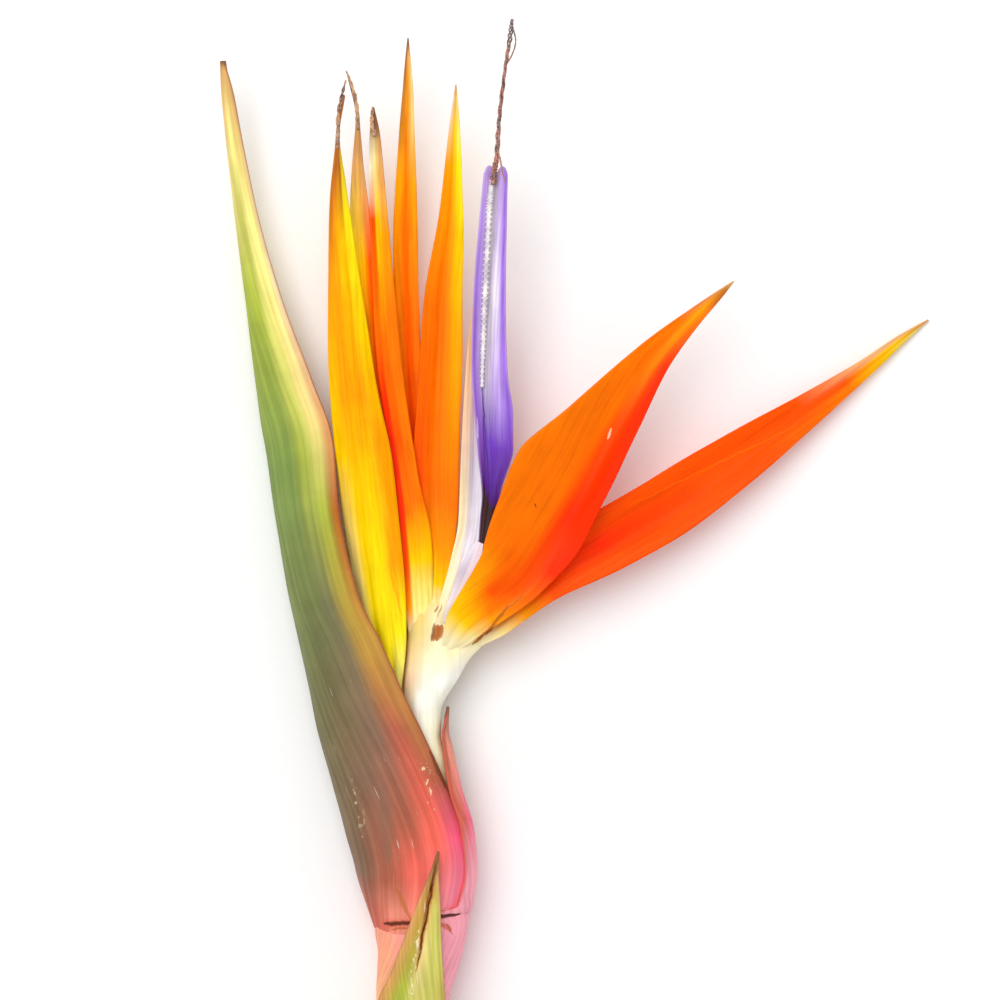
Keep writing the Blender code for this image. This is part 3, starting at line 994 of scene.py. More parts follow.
@dataclass
class Strand(Piece):
    """A thin dried strand wound loosely about a path.

    Rows: x, y, height, strand radius, winding radius.
    """

    rows: Rows = ()
    turns: float = 3.0
    strands: int = 1
    steps: tuple[int, int] = (90, 8)
    seed: float = 0.0

    def build(self, effects: Effects) -> bpy.types.Object:
        """Makes the strand.

        Args:
            effects: the shared node groups.

        Returns:
            The strand.
        """
        whole = bmesh.new()
        for number in range(self.strands):
            pour(self._wound(number), whole)
        return self.settle(whole, effects)

    def _wound(self, number: int) -> bmesh.types.BMesh:
        """Makes one strand.

        Args:
            number: which strand this is, from 0.

        Returns:
            Its shape in the row frame.
        """
        bm = tube_blank(self.steps[1], self.steps[0])
        phase = number * math.tau / self.strands + self.seed
        for vert in bm.verts:
            share = vert.co.z + 0.5
            x, y, z, radius, winding = glide(self.rows, share)
            side, up = directions(self.rows, share)
            turn = phase + share * self.turns * math.tau
            crumple = 1.0 + 0.45 * noise.noise(Vector((share * 26.0, self.seed, number * 3.0)))
            shift = (side * math.cos(turn) + up * math.sin(turn)) * winding * crumple
            shrink = radius * (1.0 + 0.3 * noise.noise(Vector((share * 40.0, number * 2.0, self.seed))))
            ring = side * (vert.co.x * shrink) + up * (vert.co.y * shrink)
            vert.co = (Vector((x, y, z)) + shift + ring) * MM
        return bm


@dataclass
class StamenRow(Piece):
    """The anthers pressed into the arrow's groove: a ridge of pollen with teeth to both sides.

    Rows: x, y, height, radius.
    """

    rows: Rows = ()
    teeth: int = 46
    core_steps: int = 80
    seed: float = 0.0

    def build(self, effects: Effects) -> bpy.types.Object:
        """Makes the ridge and its teeth as one piece.

        Args:
            effects: the shared node groups.

        Returns:
            The row of anthers.
        """
        whole = bmesh.new()
        pour(self._core(), whole)
        for number in range(self.teeth):
            x, y, z, radius = glide(self.rows, (number + 0.5) / self.teeth)
            for hand in (-1.0, 1.0):
                jitter = noise.noise(Vector((number * 0.7, hand * 3.0, self.seed)))
                made = bmesh.ops.create_icosphere(whole, subdivisions=1, radius=1.0)
                reach = radius * (1.2 + 0.3 * jitter)
                for vert in made["verts"]:
                    vert.co = Vector((
                        x + hand * radius * 0.6 + vert.co.x * reach,
                        y + vert.co.y * reach * 0.5 - vert.co.x * hand * reach * 0.5 + jitter * 0.15,
                        z + vert.co.z * reach * 0.7,
                    )) * MM
        return self.settle(whole, effects)

    def _core(self) -> bmesh.types.BMesh:
        """Makes the smooth ridge that the teeth sit on.

        Returns:
            Its shape in the row frame.
        """
        bm = tube_blank(8, self.core_steps)
        for vert in bm.verts:
            x, y, z, radius = glide(self.rows, vert.co.z + 0.5)
            vert.co = Vector((x - vert.co.x * radius * 0.9, y, z + vert.co.y * radius * 0.5)) * MM
        return bm


# Stem and tubes: y, left x, right x, centre height, half depth
STEM_ROWS: Rows = (
    (-150.0, -37.3, -27.7, 4.8, 4.8),
    (-112.0, -38.9, -29.5, 6.4, 4.7),
    (-72.0, -38.2, -29.0, 8.0, 4.6),
    (-46.0, -37.2, -28.4, 8.9, 4.4),
    (-36.0, -36.3, -28.1, 9.2, 4.1),
    (-25.0, -36.5, -28.7, 9.3, 3.9),
)
# Spathe: y, keel x, near margin x, half depth, centre height, near and far margin angles in degrees
SPATHE_ROWS: Rows = (
    (-38.0, -38.2, -26.2, 6.2, 9.2, 16.0, 16.0),
    (-34.5, -39.0, -25.4, 7.3, 9.2, 18.0, 18.0),
    (-31.4, -40.4, -24.4, 8.6, 9.2, 24.0, 22.0),
    (-28.6, -41.4, -23.8, 8.9, 9.1, 28.0, 28.0),
    (-26.0, -42.3, -23.1, 8.9, 9.0, 30.0, 34.0),
    (-20.0, -44.1, -21.9, 9.0, 9.0, 34.0, 40.0),
    (-12.0, -46.3, -22.8, 9.1, 9.0, 38.0, 50.0),
    (-3.0, -48.7, -25.8, 9.0, 9.0, 45.0, 58.0),
    (7.0, -51.5, -30.3, 8.9, 8.9, 52.0, 62.0),
    (16.0, -53.3, -34.7, 8.8, 8.8, 58.0, 68.0),
    (26.0, -55.5, -39.1, 8.5, 8.5, 60.0, 70.0),
    (34.0, -57.3, -43.1, 8.2, 8.2, 60.0, 70.0),
    (50.0, -60.1, -47.1, 7.4, 7.4, 60.0, 70.0),
    (66.0, -62.5, -48.7, 6.4, 6.6, 55.0, 66.0),
    (78.0, -64.3, -52.9, 5.3, 6.2, 50.0, 62.0),
    (94.0, -66.3, -58.9, 3.8, 6.0, 44.0, 54.0),
    (110.0, -68.3, -63.5, 2.6, 6.6, 38.0, 46.0),
    (126.0, -70.1, -66.9, 1.8, 7.8, 34.0, 40.0),
    (136.0, -71.0, -68.8, 1.3, 8.9, 30.0, 34.0),
    (142.0, -71.2, -70.5, 0.6, 9.6, 26.0, 30.0),
)
# Other bracts: y, centre x, half width, half depth, centre height, first and last angle in degrees
REAR_BRACT_ROWS: Rows = (
    (-88.0, -33.9, 6.1, 6.1, 7.4, -95.0, 252.0),
    (-72.0, -33.6, 6.2, 6.2, 8.0, -95.0, 252.0),
    (-58.0, -33.2, 6.6, 6.6, 8.5, -95.0, 252.0),
    (-46.0, -32.8, 7.3, 7.3, 8.9, -95.0, 252.0),
    (-40.0, -31.8, 8.1, 7.9, 9.1, -95.0, 252.0),
    (-36.0, -31.2, 8.6, 8.4, 9.2, -95.0, 252.0),
    (-33.0, -31.1, 9.2, 8.6, 9.2, -95.0, 252.0),
    (-30.6, -31.0, 9.4, 8.5, 9.2, -95.0, 250.0),
    (-29.0, -30.8, 9.4, 8.5, 9.2, -90.0, 235.0),
    (-28.2, -30.7, 9.6, 8.7, 9.2, -82.0, 100.0),
    (-27.0, -30.6, 9.9, 9.0, 9.2, -76.0, 46.0),
    (-25.0, -30.7, 10.2, 9.4, 9.3, -68.0, 41.0),
    (-20.0, -30.4, 10.6, 9.8, 9.3, -58.0, 37.5),
    (-12.0, -30.9, 10.4, 10.0, 9.8, -48.0, 39.0),
    (-3.0, -32.4, 9.3, 9.6, 10.3, -36.0, 41.0),
    (6.0, -32.8, 7.6, 6.6, 9.8, -30.0, 36.0),
    (12.6, -29.6, 4.1, 3.0, 9.6, -9.0, 9.0),
)
FRONT_BRACT_ROWS: Rows = (
    (-112.0, -34.2, 6.0, 6.0, 6.4, -82.0, 265.0),
    (-98.0, -34.0, 7.0, 7.0, 7.2, -82.0, 265.0),
    (-84.0, -33.9, 7.8, 7.8, 7.8, -82.0, 265.0),
    (-68.0, -33.4, 7.8, 7.8, 8.1, -80.0, 262.0),
    (-58.0, -33.2, 8.0, 8.0, 8.5, -40.0, 220.0),
    (-52.0, -33.0, 8.4, 8.3, 8.9, 4.0, 176.0),
    (-46.0, -32.8, 8.0, 7.9, 10.2, 33.0, 147.0),
    (-41.0, -31.9, 6.3, 5.6, 13.6, 30.0, 150.0),
    (-33.0, -30.6, 4.2, 3.4, 17.4, 28.0, 152.0),
    (-26.0, -29.4, 2.6, 2.3, 18.6, 26.0, 154.0),
    (-20.0, -28.3, 1.1, 1.1, 19.4, 26.0, 154.0),
    (-15.6, -27.5, 0.3, 0.4, 19.9, 35.0, 145.0),
)
# The closed slit of the front bract's rolled tip: y, angle in degrees, depth
FRONT_SLIT: Rows = (
    (-43.0, 95.0, 0.0),
    (-38.2, 93.0, 0.5),
    (-32.8, 91.5, 0.8),
    (-27.0, 94.0, 0.9),
    (-22.0, 98.0, 0.5),
    (-17.5, 95.0, 0.1),
)
FRESH_TUBE_ROWS: Rows = (
    (-24.4, -32.6, -28.6, 9.2, 2.2),
    (-14.0, -32.4, -25.6, 9.2, 3.0),
    (-7.0, -32.6, -24.9, 10.9, 4.0),
    (2.0, -33.6, -25.9, 10.6, 4.2),
    (7.0, -34.2, -27.2, 10.2, 4.0),
    (12.0, -34.7, -27.1, 9.7, 3.6),
    (18.0, -34.6, -23.9, 9.5, 3.1),
    (22.0, -34.2, -21.6, 9.5, 3.0),
    (26.0, -33.8, -18.4, 9.5, 2.8),
    (29.5, -33.5, -19.4, 9.5, 2.4),
    (32.0, -33.2, -21.0, 9.6, 1.9),
    (35.0, -32.4, -22.8, 9.7, 1.1),
    (37.0, -31.6, -24.4, 9.8, 0.3),
)
OLDER_TUBE_ROWS: Rows = (
    (-24.4, -36.9, -33.2, 9.2, 1.8),
    (-10.0, -38.6, -33.7, 9.2, 2.2),
    (0.0, -39.6, -34.4, 9.2, 2.4),
    (8.0, -40.0, -35.1, 9.2, 2.4),
    (14.0, -39.2, -35.4, 9.2, 2.2),
)
# Sepals and petals: x, y, height, left half width, right half width, rise of the margins
SEPAL_OUTER: Rows = (
    (-37.2, 15.2, 11.0, 2.0, 2.2, 0.2),
    (-38.5, 26.0, 11.8, 3.6, 4.6, -0.5),
    (-40.6, 42.0, 12.5, 5.2, 5.9, -0.9),
    (-42.8, 60.0, 13.6, 5.3, 6.0, -1.2),
    (-45.1, 80.0, 15.2, 4.6, 4.5, -1.3),
    (-46.6, 100.0, 16.2, 3.0, 3.0, -1.2),
    (-47.5, 116.0, 16.4, 1.5, 1.6, -0.6),
    (-47.6, 126.0, 16.0, 0.4, 0.4, 0.0),
    (-46.3, 134.6, 15.4, 0.15, 0.15, 0.0),
)
SEPAL_SECOND: Rows = (
    (-36.8, 15.2, 7.8, 1.6, 1.6, 0.2),
    (-36.0, 38.0, 8.0, 1.8, 1.8, 0.3),
    (-37.6, 60.0, 9.0, 1.9, 1.9, 0.8),
    (-41.0, 84.0, 10.4, 2.1, 2.1, 0.9),
    (-43.0, 106.0, 12.2, 2.1, 2.1, 0.8),
    (-43.7, 122.0, 13.0, 1.0, 1.0, 0.4),
    (-43.7, 130.0, 13.2, 0.4, 0.4, 0.0),
    (-45.6, 138.6, 13.6, 0.15, 0.15, 0.0),
)
SEPAL_THIRD: Rows = (
    (-31.2, 22.5, 9.0, 0.8, 0.8, 0.0),
    (-31.4, 27.0, 9.9, 2.1, 1.4, 0.2),
    (-31.6, 31.6, 10.7, 2.6, 2.7, 0.2),
    (-32.5, 46.0, 11.4, 2.9, 3.5, 0.2),
    (-34.4, 60.0, 11.3, 2.3, 2.5, 0.3),
    (-37.4, 80.0, 12.3, 2.4, 2.6, 0.6),
    (-39.0, 102.0, 13.4, 2.0, 2.0, 0.9),
    (-40.0, 120.0, 13.6, 1.4, 1.4, 0.6),
    (-40.3, 127.0, 13.4, 1.0, 1.0, 0.3),
    (-40.6, 132.4, 13.2, 0.2, 0.2, 0.0),
)
SEPAL_TALL: Rows = (
    (-35.2, 2.0, 3.8, 1.4, 1.4, 0.3),
    (-33.0, 26.0, 4.4, 1.8, 1.8, 0.4),
    (-31.8, 50.0, 6.4, 2.2, 2.2, 0.7),
    (-33.2, 74.0, 7.6, 2.4, 2.4, 0.9),
    (-34.2, 104.0, 9.4, 2.5, 2.4, 0.9),
    (-34.0, 126.0, 10.6, 1.6, 1.6, 0.6),
    (-33.7, 138.0, 11.2, 0.9, 0.9, 0.2),
    (-33.7, 146.4, 11.6, 0.12, 0.12, 0.0),
)
SEPAL_LEFT: Rows = (
    (-28.6, 24.0, 9.0, 0.8, 0.8, 0.0),
    (-28.1, 28.0, 10.0, 1.3, 1.3, 0.1),
    (-27.7, 31.8, 10.8, 1.7, 1.6, 0.2),
    (-27.3, 42.0, 10.4, 1.8, 2.6, 0.2),
    (-28.0, 56.0, 9.2, 4.9, 4.4, 0.8),
    (-27.4, 78.0, 9.8, 4.2, 4.4, 1.5),
    (-26.6, 94.0, 10.0, 3.9, 3.8, 1.4),
    (-25.0, 112.0, 10.8, 2.3, 2.3, 0.9),
    (-24.4, 128.0, 11.8, 1.1, 1.1, 0.3),
    (-24.1, 137.0, 12.4, 0.12, 0.12, 0.0),
)
SEPAL_UPPER: Rows = (
    (-27.0, 22.4, 10.4, 0.8, 0.8, 0.0),
    (-25.4, 24.8, 12.0, 1.7, 2.0, 0.1),
    (-22.6, 28.6, 13.6, 4.3, 3.4, 0.3),
    (-11.0, 38.0, 14.0, 10.6, 4.1, 1.8),
    (-5.0, 47.0, 14.2, 13.3, 5.8, 3.0),
    (1.5, 57.5, 15.2, 15.4, 4.5, 4.0),
    (7.6, 69.5, 16.6, 9.6, 4.2, 3.0),
    (16.0, 82.5, 18.6, 4.2, 2.8, 1.3),
    (23.0, 90.0, 20.2, 1.9, 1.6, 0.5),
    (28.0, 94.6, 21.2, 0.8, 0.8, 0.1),
    (30.9, 97.2, 21.8, 0.12, 0.12, 0.0),
)
SEPAL_LOWER: Rows = (
    (-23.4, 23.4, 8.6, 1.0, 1.0, 0.0),
    (-20.0, 26.4, 10.2, 2.4, 1.9, 0.1),
    (-16.6, 29.4, 11.2, 3.6, 3.2, 0.2),
    (-6.3, 38.4, 11.2, 5.4, 4.8, 0.6),
    (6.9, 46.2, 10.0, 6.4, 6.3, 1.5),
    (18.6, 53.0, 8.0, 6.3, 6.5, 2.0),
    (32.6, 62.4, 6.3, 5.3, 5.3, 1.7),
    (45.8, 71.6, 4.3, 3.4, 3.6, 1.0),
    (57.6, 80.0, 2.4, 1.9, 1.9, 0.4),
    (66.3, 86.8, 1.2, 0.9, 0.9, 0.1),
    (71.5, 90.5, 0.5, 0.12, 0.12, 0.0),
)
# The first three rows are a dark stalk at the arrow's foot, widened to fill the shade between the claw and
# the upper sepal: painted shade
ARROW_ROWS: Rows = (
    (-19.2, 41.6, 13.4, 0.6, 1.0, 0.0),
    (-18.4, 50.0, 14.2, 0.9, 2.2, 0.1),
    (-17.9, 55.6, 15.2, 1.0, 2.8, 0.5),
    (-18.4, 64.0, 15.6, 1.3, 5.8, 1.7),
    (-18.6, 71.0, 15.7, 1.7, 5.9, 2.2),
    (-18.7, 78.0, 15.8, 2.1, 5.0, 2.3),
    (-18.4, 87.0, 15.9, 2.4, 4.3, 2.4),
    (-17.8, 98.0, 16.1, 2.5, 3.6, 2.4),
    (-17.0, 109.0, 16.4, 2.4, 3.0, 2.2),
    (-16.4, 117.2, 16.6, 2.2, 2.5, 1.6),
)
CLAW_ROWS: Rows = (
    (-27.8, 26.4, 10.6, 0.8, 0.8, 0.0),
    (-27.0, 29.6, 11.8, 1.2, 1.3, 0.2),
    (-25.8, 33.2, 12.6, 1.6, 1.6, 0.4),
    (-22.9, 42.0, 12.7, 2.2, 1.9, 0.4),
    (-21.0, 50.0, 12.8, 2.6, 2.2, 0.8),
    (-20.6, 62.0, 13.2, 2.5, 1.9, 1.0),
    (-20.4, 74.0, 13.5, 2.1, 1.6, 0.8),
    (-20.1, 86.0, 13.8, 1.5, 1.2, 0.4),
    (-19.8, 95.0, 14.0, 0.6, 0.6, 0.1),
)
NECTARY_ROWS: Rows = (
    (-26.4, 29.4, 12.3, 0.4, 0.4, 0.0),
    (-25.0, 33.0, 13.7, 0.9, 0.9, 0.1),
    (-22.9, 37.4, 14.1, 1.3, 1.6, 0.1),
    (-21.3, 41.2, 14.3, 1.5, 2.0, 0.0),
    (-19.4, 45.6, 14.5, 0.7, 0.9, 0.0),
)
# x, y, height, strand radius, winding radius
STYLE_ROWS: Rows = (
    (-16.6, 116.6, 18.0, 0.38, 0.24),
    (-16.5, 119.0, 18.4, 0.36, 0.32),
    (-16.0, 121.6, 18.6, 0.26, 0.28),
    (-15.4, 130.0, 18.8, 0.20, 0.24),
    (-14.2, 140.0, 19.5, 0.17, 0.22),
    (-13.2, 146.5, 20.1, 0.17, 0.34),
    (-12.9, 149.2, 20.4, 0.12, 0.20),
)
STYLE_LOOP: Rows = (
    (-14.4, 139.6, 19.8, 0.16, 0.05),
    (-13.0, 142.0, 20.2, 0.15, 0.08),
    (-12.2, 145.2, 20.5, 0.14, 0.08),
    (-13.0, 148.4, 20.5, 0.12, 0.05),
)
STYLE_WISP: Rows = (
    (-15.7, 122.6, 18.9, 0.22, 0.06),
    (-15.1, 120.8, 19.2, 0.18, 0.10),
    (-14.6, 118.4, 19.3, 0.12, 0.10),
    (-14.4, 117.0, 19.2, 0.08, 0.05),
)
OUTER_THREAD: Rows = (
    (-47.6, 124.0, 16.2, 0.30, 0.12),
    (-47.5, 130.0, 16.0, 0.24, 0.22),
    (-46.8, 134.4, 15.6, 0.20, 0.18),
    (-46.0, 137.6, 15.2, 0.10, 0.10),
)
SECOND_THREAD: Rows = (
    (-43.6, 128.0, 13.5, 0.30, 0.12),
    (-44.0, 133.2, 13.6, 0.24, 0.20),
    (-45.2, 137.6, 13.8, 0.18, 0.16),
    (-46.0, 139.6, 13.9, 0.10, 0.08),
)
THIRD_WISP: Rows = (
    (-40.2, 126.6, 13.8, 0.34, 0.14),
    (-40.9, 129.6, 13.9, 0.26, 0.20),
    (-40.7, 132.4, 13.8, 0.14, 0.10),
)
# Anthers: x, y, height, radius
STAMEN_ROWS: Rows = (
    (-18.9, 76.4, 16.9, 0.30),
    (-18.6, 87.0, 17.0, 0.40),
    (-18.1, 99.0, 17.3, 0.48),
    (-17.4, 112.0, 17.5, 0.46),
    (-16.9, 117.6, 17.6, 0.30),
)


def boat_rows(rows: Rows) -> Rows:
    """Turns rows given by keel and near margin into ellipse rows for a sheath.

    Args:
        rows: y, keel x, near margin x, half depth, centre height, near and far margin angles.

    Returns:
        Rows as a sheath takes them.
    """
    turned = []
    for y, keel, margin, deep, height, near, far in rows:
        wide = (margin - keel) / (1.0 + math.cos(math.radians(near)))
        turned.append((y, keel + wide, wide, deep, height, near, 360.0 - far))
    return tuple(turned)


# Crease at the rear bract's mouth, drawn on both leaves: a brick and russet tint, and a dark sepia line that
# is painted shade in the fold
LEFT_CREASE_TINT_AND_SHADE = (
    Mark((-39.4, -30.6), (-32.6, -29.8), 1.1, Tone.BRICK, 0.6),
    Mark((-38.4, -30.4), (-32.8, -29.8), 0.5, Tone.SEPIA, 0.95),
    Mark((-36.8, -31.4), (-33.6, -31.0), 0.3, Tone.RUSSET, 0.7),
)
BASE_CRACK = (
    Mark((-20.9, 25.0), (-16.4, 29.2), 0.34, Tone.RUSSET, 0.9),
    Mark((-18.2, 27.0), (-13.6, 33.2), 0.32, Tone.RUSSET, 0.85),
    Mark((-14.6, 31.8), (-10.6, 35.0), 0.2, Tone.RUSSET, 0.75),
)

STEM_FINISH = TissueFinish(
    "stem_skin",
    (
        (0.1, ((0.0, Tone.PITH), (0.008, Tone.LEAF), (1.0, Tone.LIME))),
        (0.5, ((0.0, Tone.PITH), (0.008, Tone.STALK), (1.0, Tone.LIME))),
        (0.9, ((0.0, Tone.PITH), (0.008, Tone.LEAF), (1.0, Tone.LIME))),
    ),
    vein_rate=(0.35, 14.0), vein_tint=0.14, vein_relief=0.3, roughness=0.42, gloss=0.12)
SPATHE_FINISH = TissueFinish(
    "spathe_skin",
    (
        (0.05, ((0.03, Tone.BRICK), (0.1, Tone.BARK), (0.3, Tone.OLIVE), (0.55, Tone.LEAF), (0.75, Tone.LIME),
                (0.9, Tone.STRAW), (1.0, Tone.TAN))),
        (0.32, ((0.03, Tone.SALMON), (0.09, Tone.RUST), (0.2, Tone.BARK), (0.35, Tone.OLIVE),
                (0.55, Tone.LEAF),
                (0.73, Tone.LIME), (0.84, Tone.PALE_LIME), (0.92, Tone.CHIFFON), (1.0, Tone.TAN))),
        (0.55, ((0.03, Tone.SALMON), (0.1, Tone.CORAL), (0.15, Tone.RUST), (0.25, Tone.BARK),
                (0.4, Tone.OLIVE),
                (0.56, Tone.LIME), (0.68, Tone.PALE_LIME), (0.82, Tone.CHIFFON), (1.0, Tone.TAN))),
        (0.78, ((0.03, Tone.PINK), (0.13, Tone.CORAL), (0.19, Tone.BRICK), (0.26, Tone.RUST),
                (0.34, Tone.OCHRE),
                (0.5, Tone.LIME), (0.62, Tone.STRAW), (0.8, Tone.CHIFFON), (1.0, Tone.TAN))),
        (0.95, ((0.03, Tone.PINK), (0.14, Tone.ROSE), (0.2, Tone.RUST), (0.36, Tone.OCHRE),
                (0.5, Tone.RUSSET), (0.6, Tone.APRICOT), (0.75, Tone.CREAM), (1.0, Tone.TAN))),
    ),
    vein_rate=(0.22, 9.0), vein_tint=0.13, vein_relief=0.42, mottle_tint=0.06,
    margin=(0.07, Tone.RUST, 0.75), dry=(0.988, 0.012, Tone.HUSK),
    # Painted sheen: highlight flecks over part of the leaf
    painted_sheen=(0.2, 0.06, 0.34), painted_sheen_band=(0.02, 0.75),
    # The crease marks carry painted shade in the fold
    marks=LEFT_CREASE_TINT_AND_SHADE + (
        Mark((-36.0, -23.0), (-33.0, -29.4), 0.45, Tone.RUSSET, 0.6),
        Mark((-29.3, 4.0), (-26.2, -3.4), 0.34, Tone.SEPIA, 0.6),
        # The two speckled streaks below are painted sheen: highlight flecks on the leaf's wrinkles
        Mark((-31.2, 3.6), (-28.0, -8.4), 1.3, Tone.CREAM, 0.7, 0.7),
        Mark((-44.8, 0.0), (-42.2, -14.0), 0.8, Tone.PITH, 0.6, 0.7),
        Mark((-38.4, -2.0), (-37.6, -18.0), 1.3, Tone.BARK, 0.45),
    ),
    roughness=0.42, gloss=0.12)
REAR_BRACT_FINISH = TissueFinish(
    "rear_bract_skin",
    (
        (0.12, ((0.0, Tone.LIME), (0.35, Tone.APRICOT), (0.6, Tone.SALMON), (0.8, Tone.BRICK),
                (1.0, Tone.HUSK))),
        (0.55, ((0.0, Tone.LIME), (0.35, Tone.APRICOT), (0.5, Tone.PINK), (0.67, Tone.PINK),
                (0.78, Tone.BRICK), (0.92, Tone.SALMON), (1.0, Tone.HUSK))),
        (0.90, ((0.0, Tone.LIME), (0.3, Tone.APRICOT), (0.42, Tone.PINK), (0.68, Tone.PINK),
                (0.78, Tone.ROSE), (0.9, Tone.SALMON), (1.0, Tone.HUSK))),
    ),
    vein_rate=(0.3, 11.0), vein_tint=0.10, vein_relief=0.35,
    # Painted sheen: highlight flecks over part of the leaf
    margin=(0.045, Tone.BRICK, 0.75), dry=(0.975, 0.02, Tone.HUSK), painted_sheen=(0.2, 0.45, 0.9), painted_sheen_band=(0.1, 1.0),
    # The crease marks carry painted shade in the fold
    marks=LEFT_CREASE_TINT_AND_SHADE + (
        # The crease's right end: the sepia line is painted shade in the fold; the brick and russet marks
        # under it are tint
        Mark((-28.2, -29.0), (-23.4, -28.4), 0.34, Tone.SEPIA, 0.95),
        Mark((-27.4, -30.0), (-24.8, -31.6), 0.5, Tone.BRICK, 0.8),
        Mark((-26.0, -30.2), (-24.6, -32.6), 0.16, Tone.RUSSET, 0.85),
    ),
    roughness=0.42, gloss=0.12)
FRONT_BRACT_FINISH = TissueFinish(
    "front_bract_skin",
    (
        (0.04, ((0.0, Tone.LEAF), (0.5, Tone.OCHRE), (0.9, Tone.TAN), (1.0, Tone.HUSK))),
        (0.30, ((0.0, Tone.LEAF), (0.7, Tone.LIME), (0.88, Tone.OCHRE), (1.0, Tone.HUSK))),
        (0.55, ((0.0, Tone.LEAF), (0.6, Tone.LIME), (0.8, Tone.STRAW), (0.93, Tone.OCHRE), (1.0, Tone.HUSK))),
        (0.80, ((0.0, Tone.LEAF), (0.5, Tone.PALE_LIME), (0.88, Tone.PALE_LIME), (0.95, Tone.TAN),
                (1.0, Tone.HUSK))),
        (0.97, ((0.0, Tone.LEAF), (0.6, Tone.OCHRE), (0.8, Tone.PALE_LIME), (0.93, Tone.TAN),
                (1.0, Tone.HUSK))),
    ),
    vein_rate=(0.3, 15.0), vein_tint=0.13, vein_relief=0.4,
    # Painted sheen: highlight flecks over part of the leaf
    margin=(0.04, Tone.HUSK, 0.6), painted_sheen=(0.5, 0.62, 0.9), painted_sheen_band=(0.2, 0.62),
    marks=(
        # A russet brown edge along the slit; the thin sepia line down it is painted shadow in the slit's gap
        Mark((-27.3, -15.0), (-31.9, -39.4), 0.42, Tone.RUSSET, 0.8),
        Mark((-27.8, -17.4), (-31.6, -38.0), 0.2, Tone.SEPIA, 0.95),
        Mark((-27.6, -15.4), (-28.6, -22.0), 0.4, Tone.HUSK, 0.7),
        # The speckled cream streak below is painted sheen: highlight flecks on the leaf
        Mark((-31.2, -31.0), (-33.4, -46.0), 0.6, Tone.CREAM, 0.95, 0.9),
    ),
    roughness=0.42, gloss=0.14)
FRESH_TUBE_FINISH = TissueFinish(
    "fresh_tube_skin",
    (
        (0.12, ((0.0, Tone.STRAW), (0.5, Tone.CREAM), (0.7, Tone.PEACH), (0.85, Tone.STRAW),
                (1.0, Tone.GOLD))),
        (0.42, ((0.0, Tone.STRAW), (0.4, Tone.IVORY), (0.65, Tone.MILK), (0.75, Tone.IVORY),
                (0.9, Tone.CREAM), (1.0, Tone.GOLD))),
        (0.70, ((0.0, Tone.STRAW), (0.4, Tone.IVORY), (0.68, Tone.MILK), (0.78, Tone.CREAM),
                (0.86, Tone.STRAW), (1.0, Tone.AMBER))),
        (0.88, ((0.0, Tone.STRAW), (0.5, Tone.IVORY), (0.7, Tone.MILK), (0.8, Tone.CREAM), (0.88, Tone.GOLD),
                (1.0, Tone.AMBER))),
    ),
    vein_rate=(0.25, 10.0), vein_tint=0.05, vein_relief=0.22,
    marks=BASE_CRACK[:1] + (
        Mark((-27.0, 29.0), (-28.0, 26.0), 0.75, Tone.RUSSET, 0.9),
        Mark((-27.7, 29.0), (-28.7, 26.0), 0.7, Tone.RUSSET, 0.9),
        Mark((-28.3, 29.4), (-29.1, 25.8), 0.3, Tone.HUSK, 0.8),
        Mark((-28.4, 31.6), (-27.2, 33.2), 0.2, Tone.HUSK, 0.7),
    ),
    roughness=0.45, gloss=0.08, glow=0.22)
OLDER_TUBE_FINISH = TissueFinish(
    "older_tube_skin",
    (
        (0.15, ((0.0, Tone.TAN), (1.0, Tone.GOLD))),
        (0.85, ((0.0, Tone.STRAW), (1.0, Tone.CHIFFON))),
    ),
    vein_rate=(0.25, 10.0), vein_tint=0.08, roughness=0.45)
OUTER_FINISH = TissueFinish(
    "outer_sepal_skin",
    (
        (0.10, ((0.0, Tone.CHIFFON), (0.2, Tone.STRAW), (0.4, Tone.GOLD), (0.65, Tone.AMBER),
                (0.85, Tone.RUSSET), (1.0, Tone.HUSK))),
        (0.34, ((0.0, Tone.LEMON), (0.3, Tone.GOLD), (0.52, Tone.AMBER), (0.78, Tone.AMBER),
                (0.88, Tone.RUSSET), (1.0, Tone.HUSK))),
        (0.62, ((0.0, Tone.LEMON), (0.35, Tone.GOLD), (0.5, Tone.AMBER), (0.75, Tone.GOLD),
                (0.88, Tone.RUSSET), (1.0, Tone.HUSK))),
        (0.88, ((0.0, Tone.CHIFFON), (0.1, Tone.LEMON), (0.22, Tone.AMBER), (0.42, Tone.AMBER),
                (0.6, Tone.GOLD), (0.8, Tone.LEMON), (1.0, Tone.HUSK))),
    ),
    vein_tint=0.10, margin=(0.04, Tone.GOLD, 0.25), dry=(0.89, 0.03, Tone.RUSSET), glow=0.10,
    marks=(
        Mark((-38.6, 59.0), (-35.6, 43.0), 0.3, Tone.AMBER, 0.6),
        Mark((-37.6, 42.0), (-35.0, 31.0), 0.26, Tone.AMBER, 0.6),
    ))
SECOND_FINISH = TissueFinish(
    "second_sepal_skin",
    (
        (0.12, ((0.0, Tone.LEMON), (0.25, Tone.GOLD), (0.5, Tone.GOLD), (0.7, Tone.LEMON), (0.85, Tone.TAN),
                (1.0, Tone.HUSK))),
        (0.5, ((0.0, Tone.LEMON), (0.25, Tone.AMBER), (0.5, Tone.ORANGE), (0.7, Tone.GOLD), (0.88, Tone.TAN),
               (1.0, Tone.HUSK))),
        # Painted shade: the scarlet down the right side is the shade in the gap beside the third sepal
        (0.88, ((0.0, Tone.GOLD), (0.2, Tone.FLAME), (0.5, Tone.SCARLET), (0.7, Tone.FLAME), (0.82, Tone.TAN),
                (1.0, Tone.HUSK))),
    ),
    vein_tint=0.12, dry=(0.91, 0.03, Tone.HUSK), glow=0.10)
